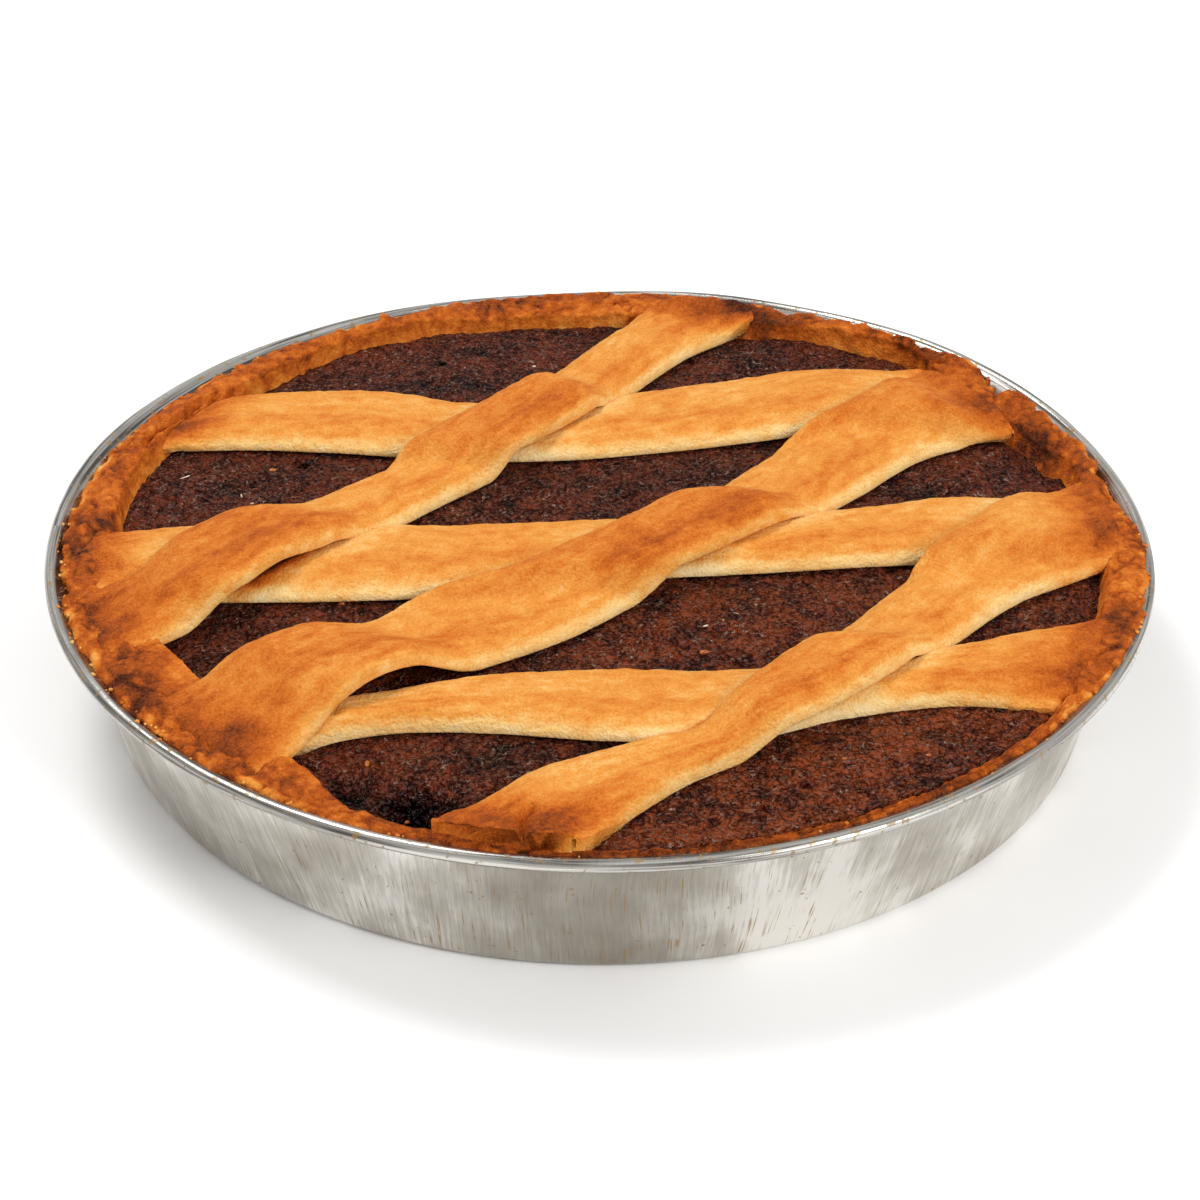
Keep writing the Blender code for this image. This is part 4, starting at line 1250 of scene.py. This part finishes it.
# The outermost crumbs stay paler, but not at the front, which baked darker
outermost = ease((0.07 - band_share) / 0.07) * (crust_row > len(UNDER_ROWS) + 2)
facing_front = ease((-points[:, 1] - 70) / 30) * ease((points[:, 0] + 40) / 40)
tone -= outermost * (1 - facing_front) * np.clip(0.04 + 0.4 * swell(points, 3.6, 62), 0, 0.26)
tone += 0.12 * facing_front
write_attribute(crust_mesh, "bake", np.clip(tone, 0, 1))
print("the crust has a middling tone of", tone.mean().round(2))

# %% [markdown]
# Shortcrust is flour bound with fat, so it breaks into fine grains and shines nowhere. One
# material serves crust and strips. Its colour runs from raw cream through gold and orange-brown
# to nearly black by the browning written above, broken by clouds of 4 mm and grains of 0.7 mm.

# %% Baked shortcrust
shortcrust, tree = new_material("baked_shortcrust", {"IOR": 1.42, "Specular IOR Level": 0.14})
place = add_node(tree, "TexCoord", (), "Object")
mottle, grit = (
    add_node(tree, "TexNoise", {"Vector": place, "Scale": fineness / MM, "Detail": detail,
                                "Roughness": roughness})
    for fineness, detail, roughness in ((0.26, 4.0, 0.65), (1.5, 2.0, 0.7)))
pores = add_node(tree, "TexVoronoi", {"Vector": place, "Scale": 1.3 / MM})
tone = add_node(tree, "Math", (add_node(tree, "Attribute", (), "Fac", attribute_name="bake"), 0.3),
                operation="SUBTRACT")
surface = grit
for value, amount in ((mottle, 0.2), (grit, 0.36)):
    tone = add_node(tree, "Math", (value, amount, tone), operation="MULTIPLY_ADD")
for value, amount in ((pores, 0.5), (mottle, 1.2)):
    surface = add_node(tree, "Math", (value, amount, surface), operation="MULTIPLY_ADD")
feed_shader(tree, {
    "Base Color": add_node(tree, "ValToRGB", (tone,), stops=(
        (0.0, "#F4D8A0"), (0.18, "#EEC178"), (0.4, "#E09540"), (0.6, "#CA6D21"), (0.75, "#A84E11"),
        (0.88, "#79370F"), (1.0, "#3C180A"))),
    "Roughness": add_node(tree, "MapRange", {"Value": grit, "From Min": 0.35, "From Max": 0.65,
                                             "To Min": 0.62, "To Max": 0.85}),
    "Normal": add_node(tree, "Bump", {"Strength": 0.65, "Distance": 0.6 * MM, "Height": surface})})
add_piece(crust_mesh, shortcrust, "crust", "crust")
for name, strip in strips.items():
    add_piece(strip.mesh, shortcrust, "lattice", name)

# %% [markdown]
# ## Crumbs and flecks
#
# A shortcrust rim sheds crumbs. They lie along its broken edge and on the bead, and a few pale
# grains of wheat and drops of candied peel show in the filling. Each is a small ball with its
# points pushed about, and each kind is joined into one piece.

# %% Crumbs on the rim
# Degrees from and to, and how many crumbs lie between
CRUMB_ZONES = (
    (172, 252, 90), (118, 172, 30), (-45, 50, 60), (50, 118, 16), (252, 315, 16),
)


def joined_grains(name, rows, seed, fineness):
    """One mesh of small uneven balls from rows of (x, y, z, length, width, turn)."""
    bm = bmesh.new()
    for x, y, z, length, width, turn in rows:
        shape = Matrix.Translation((x, y, z)) @ Matrix.Rotation(math.radians(turn), 4, "Z")
        shape = shape @ Matrix.Diagonal((length / 2, width / 2, width / 2.4, 1))
        bmesh.ops.create_icosphere(bm, subdivisions=fineness, radius=1.0, matrix=shape)
    bmesh.ops.recalc_face_normals(bm, faces=bm.faces)
    mesh = mesh_of(bm, name)
    raise_points(mesh, 0.16 * swell(points_of(mesh), 0.9, seed))
    return mesh


chance = np.random.default_rng(7)
degrees, offset, size, long, turn = np.hstack([
    [chance.uniform(low, high, count)
     for low, high in ((first, last), (-1.6, 1.4), (0.4, 1.15), (1.0, 1.7), (0, 180))]
    for first, last, count in CRUMB_ZONES])
angle = np.radians(degrees)
radius = np.minimum(ragged_edge(angle) + offset, EDGE_LIMIT)
bead_top = TIN_HEIGHT - BEAD + np.sqrt(np.maximum(BEAD ** 2 - (radius - TIN_RADIUS + BEAD) ** 2, 0))
on_crust = np.where(offset < 0.2, around(RIM, OUTER_TOP, angle) - 0.4, bead_top)
places = np.column_stack([radius * np.cos(angle), radius * np.sin(angle), np.maximum(bead_top, on_crust)])
places = bend_rim(places, np.ones(len(places)))
crumbs_mesh = joined_grains("rim_crumbs", np.column_stack([places, size * long, size, turn]), 71, 1)
write_attribute(crumbs_mesh, "bake", 0.5 + 0.35 * swell(points_of(crumbs_mesh), 6.0, 72))
add_piece(crumbs_mesh, shortcrust, "crust")

# %% Wheat and peel in the filling
# Flecks: x, y, length, width, turn
WHITE_FLECKS = (
    (-102, 27, 3.6, 0.5, 40), (-87, 18, 1.8, 0.5, 100), (-84, 14, 1.0, 0.5, 0),
    (-17.5, 86, 1.1, 0.8, 0), (-104, 3, 1.3, 0.6, 0), (24, -40, 1.6, 0.4, 30), (31, -35, 1.4, 0.3, -20),
    (28, -38, 0.8, 0.4, 60),
)
PEEL_FLECKS = (
    (-80.5, 30, 2.0, 1.2, 0), (-49, -91, 2.0, 1.3, 80), (-42, -108, 2.4, 1.2, 70),
    (-59, -31, 1.5, 0.9, 0), (23.5, -50, 2.6, 1.4, 10), (-40, -104, 1.4, 0.9, 20),
    (70, -89, 1.4, 0.8, 0), (52, -91, 1.2, 0.8, 0),
)


def lying_on_filling(rows):
    """Give each fleck the height of the filling under it."""
    placed = []
    for x, y, length, width, turn in rows:
        nearest = ((filling_top[:, :2] - (x, y)) ** 2).sum(axis=1).argmin()
        placed.append((x, y, filling_top[nearest, 2] + 0.15, length, width, turn))
    return placed


for piece, finish, codes, roughness, seed, rows in (
        ("wheat_flecks", "boiled_wheat", ("#B79A78", "#E6D8C2"), 0.35, 73, WHITE_FLECKS),
        ("peel_flecks", "candied_peel", ("#8A3D0C", "#C87422"), 0.3, 74, PEEL_FLECKS)):
    material, tree = new_material(finish, {"Roughness": roughness})
    place = add_node(tree, "TexCoord", (), "Object")
    patches = add_node(tree, "TexNoise", {"Vector": place, "Scale": 0.9 / MM, "Detail": 2.0})
    feed_shader(tree, {
        "Base Color": add_node(tree, "ValToRGB", (patches,), stops=tuple(zip((0.35, 0.65), codes))),
        "Normal": add_node(tree, "Bump", {"Strength": 0.4, "Distance": 0.2 * MM, "Height": patches})})
    add_piece(joined_grains(piece, lying_on_filling(rows), seed, 2), material, "filling")

# %% [markdown]

# %% Finish
print("done")
